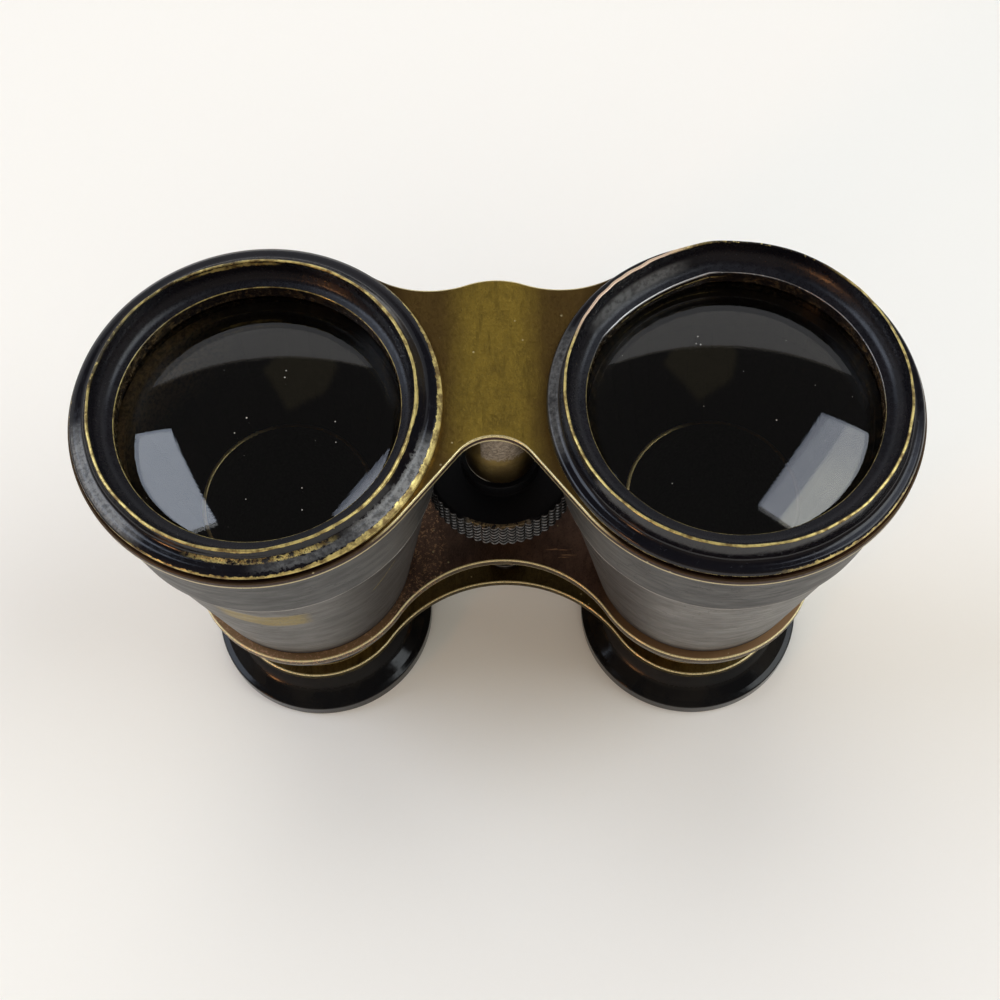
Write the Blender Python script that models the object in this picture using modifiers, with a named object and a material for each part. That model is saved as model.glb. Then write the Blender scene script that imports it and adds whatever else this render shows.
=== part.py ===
"""Old brass field glasses of the Galilean kind, standing on their eyecups.

Frame: metres, +Z up, origin on the table midway between the two eyecups, +X to the right
and +Y to the side away from the nose. The barrels stand along Z with the objectives at the
top. Two bridges join the barrels. A third one carries the draw tubes and the eyecups, and
the spindle on it runs through the nut of the focusing wheel. The eyepieces are drawn out as
far as the photograph shows.
"""
import math

import bmesh
import bpy
from mathutils import Vector

MM = 0.001

# Clearances
SEAT = 0.10 * MM
SLIDE_FIT = 0.06 * MM
NUT_FIT = 0.08 * MM
HOLE_CLEARANCE = 0.25 * MM

# Facets of a full turn, and the largest step along the arcs of a bridge
RING_STEPS = 40
SMALL_STEPS = 32
ARC_STEP = math.radians(7.5)

# The two barrels
BARREL_SPACING = 64.0 * MM
BARREL_HEIGHT = 48.88 * MM
BARREL_FOOT_RADIUS = 16.30 * MM
BARREL_BREAK_HEIGHT = 34.85 * MM
BARREL_BREAK_RADIUS = 22.30 * MM
BARREL_HEAD_RADIUS = 23.95 * MM
BARREL_WALL = 0.60 * MM
FOOT_NECK_RADIUS = 15.60 * MM
FOOT_NECK_WALL = 0.60 * MM
HEAD_NECK_RADIUS = 23.60 * MM
HEAD_NECK_WALL = 1.20 * MM
HEAD_NECK_RISE = 0.87 * MM
HEAD_BORE_DEPTH = 10.5 * MM
LEATHER_THICKNESS = 0.55 * MM
COLLAR_THICKNESS = 0.32 * MM
COLLAR_HEIGHT = 14.0 * MM

# End rings and guide bushes at the barrels' feet
END_RING_HEIGHT = 1.35 * MM
END_RING_RADIUS = 17.97 * MM
GUIDE_LENGTH = 10.0 * MM

# Bridges. An arch share of 1 is the arc that touches both rings, and less leaves straight flanks
FRONT_BRIDGE_RING = 25.55 * MM
FRONT_BRIDGE_THICKNESS = 1.50 * MM
FRONT_BRIDGE_ARCH_Y = -4.5 * MM
FRONT_BRIDGE_ARCH_SHARE = 0.66
FRONT_BRIDGE_LOBE_RADIUS = 11.6 * MM
FRONT_BRIDGE_DIP_RADIUS = 15.0 * MM
REAR_BRIDGE_RING = 18.32 * MM
REAR_BRIDGE_THICKNESS = 1.70 * MM
REAR_BRIDGE_ARCH_Y = -1.1 * MM
REAR_BRIDGE_ARCH_SHARE = 1.0
REAR_BRIDGE_LOBE_RADIUS = 9.4 * MM
REAR_BRIDGE_DIP_RADIUS = 20.0 * MM
EYE_BRIDGE_RING = 15.21 * MM
EYE_BRIDGE_THICKNESS = 1.60 * MM
EYE_BRIDGE_ARCH_Y = 1.7 * MM
EYE_BRIDGE_ARCH_SHARE = 1.0
EYE_BRIDGE_LOBE_RADIUS = 7.2 * MM
EYE_BRIDGE_DIP_RADIUS = 20.0 * MM

# How far the eyepieces stand out of the barrels in the photograph
DRAW_GAP = 13.05 * MM

# Objective bezels; the right one is the taller
BEZEL_EDGE_RADIUS = 25.10 * MM
BEZEL_EDGE_HEIGHT = 0.75 * MM
BEZEL_RIDGE_WIDTH = 0.25 * MM
BEZEL_HOLLOW_WIDTH = 1.50 * MM
BEZEL_ROLL_RISE = 0.55 * MM
BEZEL_WALL_DEPTH = 2.30 * MM
BEZEL_SKIRT_WALL = 1.55 * MM
LEFT_RIDGE_RADIUS = 22.06 * MM
LEFT_RIDGE_HEIGHT = 3.25 * MM
LEFT_LIP_RADIUS = 19.41 * MM
LEFT_LIP_DROP = 3.65 * MM
RIGHT_RIDGE_RADIUS = 22.56 * MM
RIGHT_RIDGE_HEIGHT = 4.95 * MM
RIGHT_LIP_RADIUS = 19.75 * MM
RIGHT_LIP_DROP = 3.30 * MM

# Objective doublet: crown in front, flint behind, and the ring that locks them
CROWN_FRONT_CURVE = 62.0 * MM
CROWN_EDGE = 0.80 * MM
CEMENT_CURVE = 110.0 * MM
FLINT_CENTRE = 0.90 * MM
LOCK_RING_HEIGHT = 1.15 * MM
LOCK_RING_WIDTH = 1.30 * MM

# Eyepieces
DRAW_TUBE_RADIUS = 13.0 * MM
DRAW_TUBE_WALL = 0.60 * MM
DRAW_TUBE_TOP_REACH = 24.6 * MM
EYECUP_HEIGHT = 8.55 * MM
EYECUP_RIM_RADIUS = 18.75 * MM
EYECUP_RIM_HEIGHT = 3.0 * MM
EYECUP_NECK_RADIUS = 14.05 * MM
EYECUP_FOOT_WIDTH = 1.35 * MM
EYECUP_EASE = 0.30 * MM
EYECUP_WEB_Z = 3.70 * MM
EYECUP_WEB_THICKNESS = 0.90 * MM
EYECUP_HOLE_RADIUS = 9.60 * MM
EYE_CELL_LIFT = 0.90 * MM
EYE_CELL_LIP = 0.70 * MM
EYE_CELL_HEIGHT = 4.60 * MM
EYE_CELL_WALL = 1.00 * MM
EYE_LENS_CURVE = 60.0 * MM
EYE_LENS_EDGE = 3.0 * MM

# Focusing gear
AXIS_Y = 8.5 * MM
WHEEL_RADIUS = 11.90 * MM
WHEEL_THICKNESS = 6.30 * MM
KNURL_COUNT = 51
KNURL_DEPTH = 0.45 * MM
WHEEL_HUB_RADIUS = 6.10 * MM
WHEEL_HUB_RISE = 2.50 * MM
WHEEL_WEB_LAP = 0.80 * MM
COLUMN_RADIUS = 5.40 * MM
COLUMN_WALL = 0.70 * MM
LOWER_COLUMN_HEIGHT = 8.55 * MM
NUT_RADIUS = 4.40 * MM
NUT_TAIL = 4.10 * MM
SPINDLE_RADIUS = 3.0 * MM
SPINDLE_TOP_TAIL = 4.93 * MM
SPINDLE_TIP_CHAMFER = 0.40 * MM
FLANGE_RADIUS = 4.40 * MM
FLANGE_HEIGHT = 1.15 * MM
FOOT_NUT_RADIUS = 4.60 * MM
FOOT_NUT_HEIGHT = 1.55 * MM
SPINDLE_TAIL = 0.50 * MM
STOP_GAP = 3.50 * MM
STOP_HEIGHT = 2.0 * MM
STOP_RADIUS = 4.25 * MM

# Heights worked out from the sizes above
EYE_BRIDGE_Z = EYECUP_HEIGHT + SEAT
EYE_BRIDGE_TOP = EYE_BRIDGE_Z + EYE_BRIDGE_THICKNESS
END_RING_Z = EYE_BRIDGE_TOP + DRAW_GAP
REAR_BRIDGE_Z = END_RING_Z + END_RING_HEIGHT + SEAT
REAR_BRIDGE_TOP = REAR_BRIDGE_Z + REAR_BRIDGE_THICKNESS
BARREL_Z = REAR_BRIDGE_TOP + SEAT
BARREL_TOP = BARREL_Z + BARREL_HEIGHT
FRONT_BRIDGE_Z = BARREL_TOP + SEAT
FRONT_BRIDGE_TOP = FRONT_BRIDGE_Z + FRONT_BRIDGE_THICKNESS
BEZEL_Z = FRONT_BRIDGE_TOP + SEAT
HEAD_NECK_TOP = FRONT_BRIDGE_TOP + HEAD_NECK_RISE
WHEEL_BOTTOM = BARREL_Z + LOWER_COLUMN_HEIGHT + SEAT + WHEEL_HUB_RISE
WHEEL_TOP = WHEEL_BOTTOM + WHEEL_THICKNESS
HUB_TOP = WHEEL_TOP + WHEEL_HUB_RISE

# Radii worked out from the sizes above
HEAD_BORE = HEAD_NECK_RADIUS - HEAD_NECK_WALL
SKIRT_RADIUS = HEAD_BORE - SEAT
LENS_RECESS = SKIRT_RADIUS - BEZEL_SKIRT_WALL
LENS_RADIUS = LENS_RECESS - SEAT
DRAW_TUBE_BORE = DRAW_TUBE_RADIUS - DRAW_TUBE_WALL
COLUMN_BORE = COLUMN_RADIUS - COLUMN_WALL
SPINDLE_HOLE = SPINDLE_RADIUS + SEAT

# Side, its sign along X, and its bezel's ridge radius, ridge height, lip radius and lip drop
SIDES = (
    ("left", -1, (LEFT_RIDGE_RADIUS, LEFT_RIDGE_HEIGHT, LEFT_LIP_RADIUS, LEFT_LIP_DROP)),
    ("right", 1, (RIGHT_RIDGE_RADIUS, RIGHT_RIDGE_HEIGHT, RIGHT_LIP_RADIUS, RIGHT_LIP_DROP)),
)


def clear_scene():
    for obj in list(bpy.data.objects):
        bpy.data.objects.remove(obj, do_unlink=True)


def make_collection(name, hidden=False):
    collection = bpy.data.collections.new(name)
    bpy.context.scene.collection.children.link(collection)
    collection.hide_render = hidden
    return collection


def make_material(name, colour, metallic, roughness, alpha=1.0):
    material = bpy.data.materials.new(name)
    material.use_nodes = True
    material.diffuse_color = (*colour, alpha)
    shader = material.node_tree.nodes["Principled BSDF"]
    shader.inputs["Base Color"].default_value = (*colour, 1.0)
    shader.inputs["Metallic"].default_value = metallic
    shader.inputs["Roughness"].default_value = roughness
    shader.inputs["Alpha"].default_value = alpha
    return material


def patinated_brass(name):
    return make_material(name, (0.24, 0.17, 0.05), 1.0, 0.42)


def bare_brass(name):
    return make_material(name, (0.55, 0.42, 0.18), 1.0, 0.32)


def black_lacquer(name):
    return make_material(name, (0.012, 0.012, 0.016), 0.0, 0.18)


def worn_leather(name):
    return make_material(name, (0.12, 0.11, 0.105), 0.0, 0.55)


def ebonite(name):
    return make_material(name, (0.010, 0.010, 0.011), 0.0, 0.15)


def optical_glass(name):
    return make_material(name, (0.80, 0.86, 0.84), 0.0, 0.02, alpha=0.35)


def dark_steel(name):
    return make_material(name, (0.10, 0.10, 0.11), 1.0, 0.40)


def add_object(name, data, finish, place, collection):
    obj = bpy.data.objects.new(name, data)
    obj.location = place
    obj.data.materials.clear()
    obj.data.materials.append(finish(name + "_finish"))
    collection.objects.link(obj)
    return obj


def smooth(mesh):
    mesh.shade_smooth()
    mesh.set_sharp_from_angle(angle=math.radians(30))


def turned(name, profile, finish, place, collection, steps=RING_STEPS):
    """A profile of (radius, height) points, outer side first from top to bottom, turned about Z.

    A profile that starts and ends on the axis makes a solid; any other is closed into a ring.
    """
    mesh = bpy.data.meshes.new(name)
    bm = bmesh.new()
    verts = [bm.verts.new((radius, 0.0, height)) for radius, height in profile]
    pairs = list(zip(verts, verts[1:]))
    if profile[0][0] > 0.0:
        pairs.append((verts[-1], verts[0]))
    for pair in pairs:
        bm.edges.new(pair)
    bm.to_mesh(mesh)
    bm.free()
    obj = add_object(name, mesh, finish, place, collection)
    screw = obj.modifiers.new("turn", "SCREW")
    screw.axis = "Z"
    screw.angle = math.tau
    screw.steps = steps
    screw.render_steps = steps
    screw.use_merge_vertices = True
    screw.merge_threshold = 0.00001
    screw.use_smooth_shade = True
    return obj


def arc(centre, radius, start, end, step=ARC_STEP):
    """Points from the angle start to the angle end, both included."""
    count = max(2, math.ceil(abs(end - start) / step))
    points = []
    for i in range(count + 1):
        angle = start + (end - start) * i / count
        points.append(centre + Vector((math.cos(angle), math.sin(angle))) * radius)
    return points


def circle(centre, radius, steps):
    return arc(centre, radius, 0.0, math.tau, math.tau / steps)[:-1]


def direction(vector):
    return math.atan2(vector.y, vector.x)


def bridge_half(ring, arch_y, arch_share, lobe_radius, dip_radius):
    """The right half of a bridge's outline, from the arch's crown round to the lobe's crown.

    The arch in front is an arc joined to the ring by a straight flank that touches both.
    Behind, a dip touches the ring and the lobe round the focusing axis.
    """
    touching = (BARREL_SPACING ** 2 / 4 + arch_y ** 2 - ring ** 2) / (2 * (ring + arch_y))
    arch_radius = touching * arch_share
    ring_centre = Vector((BARREL_SPACING / 2, 0.0))
    arch_centre = Vector((0.0, arch_y - arch_radius))
    axis = Vector((0.0, AXIS_Y))

    # Rounding can leave the share of a touching arc just over 1
    across = arch_centre - ring_centre
    reach = min(1.0, (ring + arch_radius) / across.length)
    flank = direction(across) % math.tau + math.acos(reach)

    near, far = lobe_radius + dip_radius, ring + dip_radius
    span = ring_centre - axis
    along = (near ** 2 - far ** 2 + span.length_squared) / (2 * span.length)
    aside = math.sqrt(near ** 2 - along ** 2)
    unit = span.normalized()
    dip_centre = axis + unit * along + Vector((-unit.y, unit.x)) * aside

    points = arc(arch_centre, arch_radius, math.pi / 2, flank - math.pi)
    points += arc(ring_centre, ring, flank, math.tau + direction(dip_centre - ring_centre))
    from_ring = direction(ring_centre - dip_centre) % math.tau
    from_lobe = direction(axis - dip_centre) % math.tau
    points += arc(dip_centre, dip_radius, from_ring, from_lobe)[1:]
    points += arc(axis, lobe_radius, direction(dip_centre - axis), math.pi / 2)[1:]
    return points


def flat_plate(name, outlines, bottom, thickness, finish, collection):
    """A plate with a flat outline and holes, made a mesh with its caps welded on."""
    curve = bpy.data.curves.new(name, "CURVE")
    curve.dimensions = "2D"
    curve.fill_mode = "BOTH"
    curve.extrude = thickness / 2
    for points in outlines:
        spline = curve.splines.new("POLY")
        spline.points.add(len(points) - 1)
        for target, point in zip(spline.points, points):
            target.co = (point.x, point.y, 0.0, 1.0)
        spline.use_cyclic_u = True
    guide = bpy.data.objects.new(name + "_curve", curve)
    guide.location = (0.0, 0.0, bottom + thickness / 2)
    collection.objects.link(guide)
    bpy.context.view_layer.update()
    evaluated = guide.evaluated_get(bpy.context.evaluated_depsgraph_get())
    mesh = bpy.data.meshes.new_from_object(evaluated)
    mesh.name = name
    bm = bmesh.new()
    bm.from_mesh(mesh)
    bmesh.ops.remove_doubles(bm, verts=bm.verts, dist=0.000001)
    bm.to_mesh(mesh)
    bm.free()
    smooth(mesh)
    obj = add_object(name, mesh, finish, (0.0, 0.0, 0.0), collection)
    obj.matrix_world = guide.matrix_world.copy()
    bpy.data.objects.remove(guide, do_unlink=True)
    return obj


def bridge(name, half, bores, spindle_hole, bottom, thickness, finish, collection):
    other_half = [Vector((-point.x, point.y)) for point in reversed(half[1:-1])]
    outlines = [half + other_half]
    for side in (-1, 1):
        outlines.append(circle(Vector((side * BARREL_SPACING / 2, 0.0)), bores, RING_STEPS))
    if spindle_hole > 0.0:
        outlines.append(circle(Vector((0.0, AXIS_Y)), spindle_hole, SMALL_STEPS))
    return flat_plate(name, outlines, bottom, thickness, finish, collection)


def tube_outer(height):
    """The barrel tube's outer radius at a height above its foot."""
    if height < BARREL_BREAK_HEIGHT:
        share = height / BARREL_BREAK_HEIGHT
        return BARREL_FOOT_RADIUS + (BARREL_BREAK_RADIUS - BARREL_FOOT_RADIUS) * share
    share = (height - BARREL_BREAK_HEIGHT) / (BARREL_HEIGHT - BARREL_BREAK_HEIGHT)
    return BARREL_BREAK_RADIUS + (BARREL_HEAD_RADIUS - BARREL_BREAK_RADIUS) * share


def barrel_tube(name, place, collection):
    bore_end = HEAD_NECK_TOP - HEAD_BORE_DEPTH
    break_z = BARREL_Z + BARREL_BREAK_HEIGHT
    profile = [
        (HEAD_NECK_RADIUS, HEAD_NECK_TOP),
        (HEAD_NECK_RADIUS, BARREL_TOP),
        (BARREL_HEAD_RADIUS, BARREL_TOP),
        (BARREL_BREAK_RADIUS, break_z),
        (BARREL_FOOT_RADIUS, BARREL_Z),
        (FOOT_NECK_RADIUS, BARREL_Z),
        (FOOT_NECK_RADIUS, END_RING_Z),
        (FOOT_NECK_RADIUS - FOOT_NECK_WALL, END_RING_Z),
        (FOOT_NECK_RADIUS - FOOT_NECK_WALL, BARREL_Z + BARREL_WALL),
        (BARREL_BREAK_RADIUS - BARREL_WALL, break_z),
        (HEAD_BORE, bore_end),
        (HEAD_BORE, HEAD_NECK_TOP),
    ]
    return turned(name, profile, patinated_brass, place, collection)


def sleeve(name, bottom, top, gap, thickness, finish, place, collection):
    """A covering of even thickness that follows the barrel tube between two heights above its foot."""
    heights = [bottom, top]
    if bottom < BARREL_BREAK_HEIGHT < top:
        heights.insert(1, BARREL_BREAK_HEIGHT)
    inner = [(tube_outer(height) + gap, BARREL_Z + height) for height in heights]
    outer = [(radius + thickness, height) for radius, height in reversed(inner)]
    return turned(name, outer + inner, finish, place, collection)


def ring(name, outer, inner, bottom, top, finish, place, collection, steps=RING_STEPS):
    profile = [(outer, top), (outer, bottom), (inner, bottom), (inner, top)]
    return turned(name, profile, finish, place, collection, steps)


def sagitta(curve, radius):
    return curve - math.sqrt(curve ** 2 - radius ** 2)


def lip_height(form):
    ridge_radius, ridge_height, lip_radius, lip_drop = form
    return BEZEL_Z + ridge_height - lip_drop


def lens_stack(form):
    """Edge heights of the doublet: crown top, crown bottom, flint top, flint back, lock ring top."""
    ridge_radius, ridge_height, lip_radius, lip_drop = form
    apex = lip_height(form) - BEZEL_WALL_DEPTH - SEAT + sagitta(CROWN_FRONT_CURVE, lip_radius)
    crown_top = apex - sagitta(CROWN_FRONT_CURVE, LENS_RADIUS)
    crown_bottom = crown_top - CROWN_EDGE
    flint_top = crown_bottom - SEAT
    flint_back = flint_top - sagitta(CEMENT_CURVE, LENS_RADIUS) - FLINT_CENTRE
    return crown_top, crown_bottom, flint_top, flint_back, flint_back - SEAT


def bezel(name, form, place, collection):
    """Ridge on top, hollowed slope and rolled edge outside, cove and lip inside, skirt below."""
    ridge_radius, ridge_height, lip_radius, lip_drop = form
    ridge = BEZEL_Z + ridge_height
    edge = BEZEL_Z + BEZEL_EDGE_HEIGHT
    roll = edge + BEZEL_ROLL_RISE
    lip = lip_height(form)
    shelf = lip - BEZEL_WALL_DEPTH
    skirt_end = lens_stack(form)[-1] - LOCK_RING_HEIGHT
    hollow = ridge_radius + BEZEL_HOLLOW_WIDTH
    slope = BEZEL_EDGE_RADIUS - hollow
    cove = ridge_radius - lip_radius
    neck_groove = HEAD_NECK_RADIUS + SEAT
    profile = [
        (ridge_radius, ridge),
        (ridge_radius + BEZEL_RIDGE_WIDTH, ridge - BEZEL_RIDGE_WIDTH),
        (ridge_radius + BEZEL_HOLLOW_WIDTH * 0.45, roll + (ridge - roll) * 0.30),
        (hollow, roll),
        (hollow + slope * 0.65, roll - BEZEL_ROLL_RISE * 0.30),
        (BEZEL_EDGE_RADIUS, edge),
        (BEZEL_EDGE_RADIUS - SEAT, BEZEL_Z),
        (neck_groove, BEZEL_Z),
        (neck_groove, HEAD_NECK_TOP + SEAT),
        (SKIRT_RADIUS, HEAD_NECK_TOP + SEAT),
        (SKIRT_RADIUS, skirt_end),
        (LENS_RECESS, skirt_end),
        (LENS_RECESS, shelf),
        (lip_radius, shelf),
        (lip_radius, lip),
        (lip_radius + cove * 0.30, lip + lip_drop * 0.10),
        (lip_radius + cove * 0.70, lip + lip_drop * 0.45),
        (lip_radius + cove * 0.92, lip + lip_drop * 0.85),
    ]
    return turned(name, profile, black_lacquer, place, collection)


def lens_face(curve, edge_z, radius, rings=3):
    """Points of a spherical face from the axis to the edge; a positive curve bulges upwards."""
    bulge = sagitta(abs(curve), radius)
    points = []
    for i in range(rings + 1):
        r = radius * i / rings
        height = bulge - sagitta(abs(curve), r)
        points.append((r, edge_z + math.copysign(height, curve)))
    return points


def lens(name, front, back, place, collection):
    profile = front + list(reversed(back))
    return turned(name, profile, optical_glass, place, collection)


def objective(prefix, form, place, collection):
    crown_top, crown_bottom, flint_top, flint_back, lock_top = lens_stack(form)
    crown_front = lens_face(CROWN_FRONT_CURVE, crown_top, LENS_RADIUS)
    crown_back = lens_face(-CEMENT_CURVE, crown_bottom, LENS_RADIUS)
    flint_front = lens_face(-CEMENT_CURVE, flint_top, LENS_RADIUS)
    flint_rear = [(0.0, flint_back), (LENS_RADIUS, flint_back)]
    lens(prefix + "_objective_crown", crown_front, crown_back, place, collection)
    lens(prefix + "_objective_flint", flint_front, flint_rear, place, collection)
    ring(prefix + "_objective_lock_ring", LENS_RADIUS, LENS_RADIUS - LOCK_RING_WIDTH,
         lock_top - LOCK_RING_HEIGHT, lock_top, bare_brass, place, collection)


def eyecup(name, place, collection):
    """Trumpet outside over a short upright rim, shallow bowl inside with the sight hole in its web."""
    neck, rim = EYECUP_NECK_RADIUS, EYECUP_RIM_RADIUS
    flare = rim - neck
    drop = EYECUP_HEIGHT - EYECUP_RIM_HEIGHT
    bore = DRAW_TUBE_RADIUS + SEAT
    foot = rim - EYECUP_EASE - EYECUP_FOOT_WIDTH
    bowl = foot - EYECUP_HOLE_RADIUS
    web_top = EYECUP_WEB_Z + EYECUP_WEB_THICKNESS
    profile = [
        (neck, EYECUP_HEIGHT),
        (neck, EYECUP_HEIGHT - drop * 0.22),
        (neck + flare * 0.13, EYECUP_HEIGHT - drop * 0.45),
        (neck + flare * 0.38, EYECUP_HEIGHT - drop * 0.68),
        (neck + flare * 0.72, EYECUP_HEIGHT - drop * 0.86),
        (rim - EYECUP_EASE, EYECUP_RIM_HEIGHT),
        (rim, EYECUP_RIM_HEIGHT - EYECUP_EASE),
        (rim, EYECUP_EASE),
        (rim - EYECUP_EASE, 0.0),
        (foot, 0.0),
        (foot - bowl * 0.12, EYECUP_WEB_Z * 0.28),
        (foot - bowl * 0.45, EYECUP_WEB_Z * 0.70),
        (EYECUP_HOLE_RADIUS, EYECUP_WEB_Z),
        (EYECUP_HOLE_RADIUS, web_top),
        (bore, web_top),
        (bore, EYECUP_HEIGHT),
    ]
    return turned(name, profile, ebonite, place, collection)


def eyepiece(prefix, place, collection):
    web_top = EYECUP_WEB_Z + EYECUP_WEB_THICKNESS
    tube_bottom = web_top + SEAT
    ring(prefix + "_draw_tube", DRAW_TUBE_RADIUS, DRAW_TUBE_BORE, tube_bottom,
         END_RING_Z + DRAW_TUBE_TOP_REACH, bare_brass, place, collection)
    eyecup(prefix + "_eyecup", place, collection)

    cell_bottom = web_top + EYE_CELL_LIFT
    cell_top = cell_bottom + EYE_CELL_HEIGHT
    cell_outer = DRAW_TUBE_BORE - SEAT
    cell_bore = cell_outer - EYE_CELL_WALL
    lip_top = cell_bottom + EYE_CELL_LIP
    profile = [
        (cell_outer, cell_top),
        (cell_outer, cell_bottom),
        (EYECUP_HOLE_RADIUS, cell_bottom),
        (EYECUP_HOLE_RADIUS, lip_top),
        (cell_bore, lip_top),
        (cell_bore, cell_top),
    ]
    turned(prefix + "_eye_lens_cell", profile, black_lacquer, place, collection)

    lens_radius = cell_bore - SEAT
    lens_bottom = lip_top + SEAT
    front = lens_face(-EYE_LENS_CURVE, lens_bottom + EYE_LENS_EDGE, lens_radius)
    back = lens_face(EYE_LENS_CURVE, lens_bottom, lens_radius)
    lens(prefix + "_eye_lens", front, back, place, collection)


def barrel(prefix, place, form, collection):
    barrel_tube(prefix + "_barrel_tube", place, collection)
    sleeve(prefix + "_barrel_leather", 0.0, BARREL_HEIGHT, SEAT, LEATHER_THICKNESS,
           worn_leather, place, collection)
    sleeve(prefix + "_barrel_collar", BARREL_HEIGHT - COLLAR_HEIGHT, BARREL_HEIGHT,
           LEATHER_THICKNESS + 2 * SEAT, COLLAR_THICKNESS, worn_leather, place, collection)
    ring(prefix + "_barrel_end_ring", END_RING_RADIUS, FOOT_NECK_RADIUS + SEAT, END_RING_Z,
         END_RING_Z + END_RING_HEIGHT, black_lacquer, place, collection)
    ring(prefix + "_draw_tube_guide", FOOT_NECK_RADIUS - FOOT_NECK_WALL - SEAT,
         DRAW_TUBE_RADIUS + SLIDE_FIT, END_RING_Z, END_RING_Z + GUIDE_LENGTH,
         bare_brass, place, collection)
    bezel(prefix + "_objective_bezel", form, place, collection)
    objective(prefix, form, place, collection)
    eyepiece(prefix, place, collection)


def bridges(collection):
    front = bridge_half(FRONT_BRIDGE_RING, FRONT_BRIDGE_ARCH_Y, FRONT_BRIDGE_ARCH_SHARE,
                        FRONT_BRIDGE_LOBE_RADIUS, FRONT_BRIDGE_DIP_RADIUS)
    bridge("front_bridge", front, HEAD_NECK_RADIUS + SEAT, 0.0, FRONT_BRIDGE_Z,
           FRONT_BRIDGE_THICKNESS, patinated_brass, collection)
    rear = bridge_half(REAR_BRIDGE_RING, REAR_BRIDGE_ARCH_Y, REAR_BRIDGE_ARCH_SHARE,
                       REAR_BRIDGE_LOBE_RADIUS, REAR_BRIDGE_DIP_RADIUS)
    bridge("rear_bridge", rear, FOOT_NECK_RADIUS + SEAT, SPINDLE_RADIUS + HOLE_CLEARANCE,
           REAR_BRIDGE_Z, REAR_BRIDGE_THICKNESS, patinated_brass, collection)
    eye = bridge_half(EYE_BRIDGE_RING, EYE_BRIDGE_ARCH_Y, EYE_BRIDGE_ARCH_SHARE,
                      EYE_BRIDGE_LOBE_RADIUS, EYE_BRIDGE_DIP_RADIUS)
    bridge("eyepiece_bridge", eye, DRAW_TUBE_RADIUS + SEAT, SPINDLE_HOLE, EYE_BRIDGE_Z,
           EYE_BRIDGE_THICKNESS, patinated_brass, collection)


def focus_wheel(place, collection, cutters):
    """A knurled disc joined to its hub. Both are centred on the joint's axis."""
    outline = []
    for i in range(2 * KNURL_COUNT):
        radius = WHEEL_RADIUS - KNURL_DEPTH * (i % 2)
        angle = math.tau * i / (2 * KNURL_COUNT)
        outline.append(Vector((radius * math.cos(angle), radius * math.sin(angle))))
    web_bore = circle(Vector((0.0, 0.0)), WHEEL_HUB_RADIUS - WHEEL_WEB_LAP, SMALL_STEPS)
    wheel = flat_plate("focus_wheel", [outline, web_bore], WHEEL_BOTTOM, WHEEL_THICKNESS,
                       black_lacquer, collection)
    wheel.location = place + Vector((0.0, 0.0, WHEEL_BOTTOM + WHEEL_THICKNESS / 2))
    hub = ring("wheel_hub_shape", WHEEL_HUB_RADIUS, NUT_RADIUS + SEAT,
               WHEEL_BOTTOM - WHEEL_HUB_RISE, HUB_TOP, black_lacquer, place, cutters, SMALL_STEPS)
    hub.hide_render = True
    hub.display_type = "WIRE"
    union = wheel.modifiers.new("hub", "BOOLEAN")
    union.operation = "UNION"
    union.solver = "EXACT"
    union.object = hub
    return wheel


def focusing_gear(collection, cutters):
    place = Vector((0.0, AXIS_Y, 0.0))
    ring("lower_column", COLUMN_RADIUS, COLUMN_BORE, BARREL_Z, BARREL_Z + LOWER_COLUMN_HEIGHT,
         bare_brass, place, collection, SMALL_STEPS)
    ring("upper_column", COLUMN_RADIUS, COLUMN_BORE, HUB_TOP + SEAT, BARREL_TOP,
         bare_brass, place, collection, SMALL_STEPS)
    focus_wheel(place, collection, cutters)

    nut_top = HUB_TOP + NUT_TAIL
    ring("focus_nut", NUT_RADIUS, SPINDLE_RADIUS + NUT_FIT,
         WHEEL_BOTTOM - WHEEL_HUB_RISE - NUT_TAIL, nut_top, bare_brass, place, collection, SMALL_STEPS)
    stop_bottom = nut_top + STOP_GAP
    stop_top = stop_bottom + STOP_HEIGHT
    ring("spindle_stop_ring", STOP_RADIUS, SPINDLE_HOLE, stop_bottom, stop_top,
         dark_steel, place, collection, SMALL_STEPS)

    top = stop_top + SPINDLE_TOP_TAIL
    flange_bottom = EYE_BRIDGE_TOP + SEAT
    foot_nut_top = EYE_BRIDGE_Z - SEAT
    foot_nut_bottom = foot_nut_top - FOOT_NUT_HEIGHT
    bottom = foot_nut_bottom - SPINDLE_TAIL
    profile = [
        (0.0, top),
        (SPINDLE_RADIUS - SPINDLE_TIP_CHAMFER, top),
        (SPINDLE_RADIUS, top - SPINDLE_TIP_CHAMFER),
        (SPINDLE_RADIUS, flange_bottom + FLANGE_HEIGHT),
        (FLANGE_RADIUS, flange_bottom + FLANGE_HEIGHT),
        (FLANGE_RADIUS, flange_bottom),
        (SPINDLE_RADIUS, flange_bottom),
        (SPINDLE_RADIUS, bottom),
        (0.0, bottom),
    ]
    turned("focus_spindle", profile, dark_steel, place, collection, SMALL_STEPS)
    ring("spindle_foot_nut", FOOT_NUT_RADIUS, SPINDLE_HOLE, foot_nut_bottom, foot_nut_top,
         bare_brass, place, collection, SMALL_STEPS)


def main():
    clear_scene()
    parts = make_collection("field_glasses")
    cutters = make_collection("cutters", hidden=True)
    for prefix, side, form in SIDES:
        barrel(prefix, Vector((side * BARREL_SPACING / 2, 0.0, 0.0)), form, parts)
    bridges(parts)
    focusing_gear(parts, cutters)


main()
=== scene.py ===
from math import acos, atan2, ceil, cos, degrees, hypot, pi, radians, sin, sqrt, tan, tau

import bmesh
import bpy
from mathutils import Matrix, Vector, noise
from mathutils.geometry import tessellate_polygon


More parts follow.
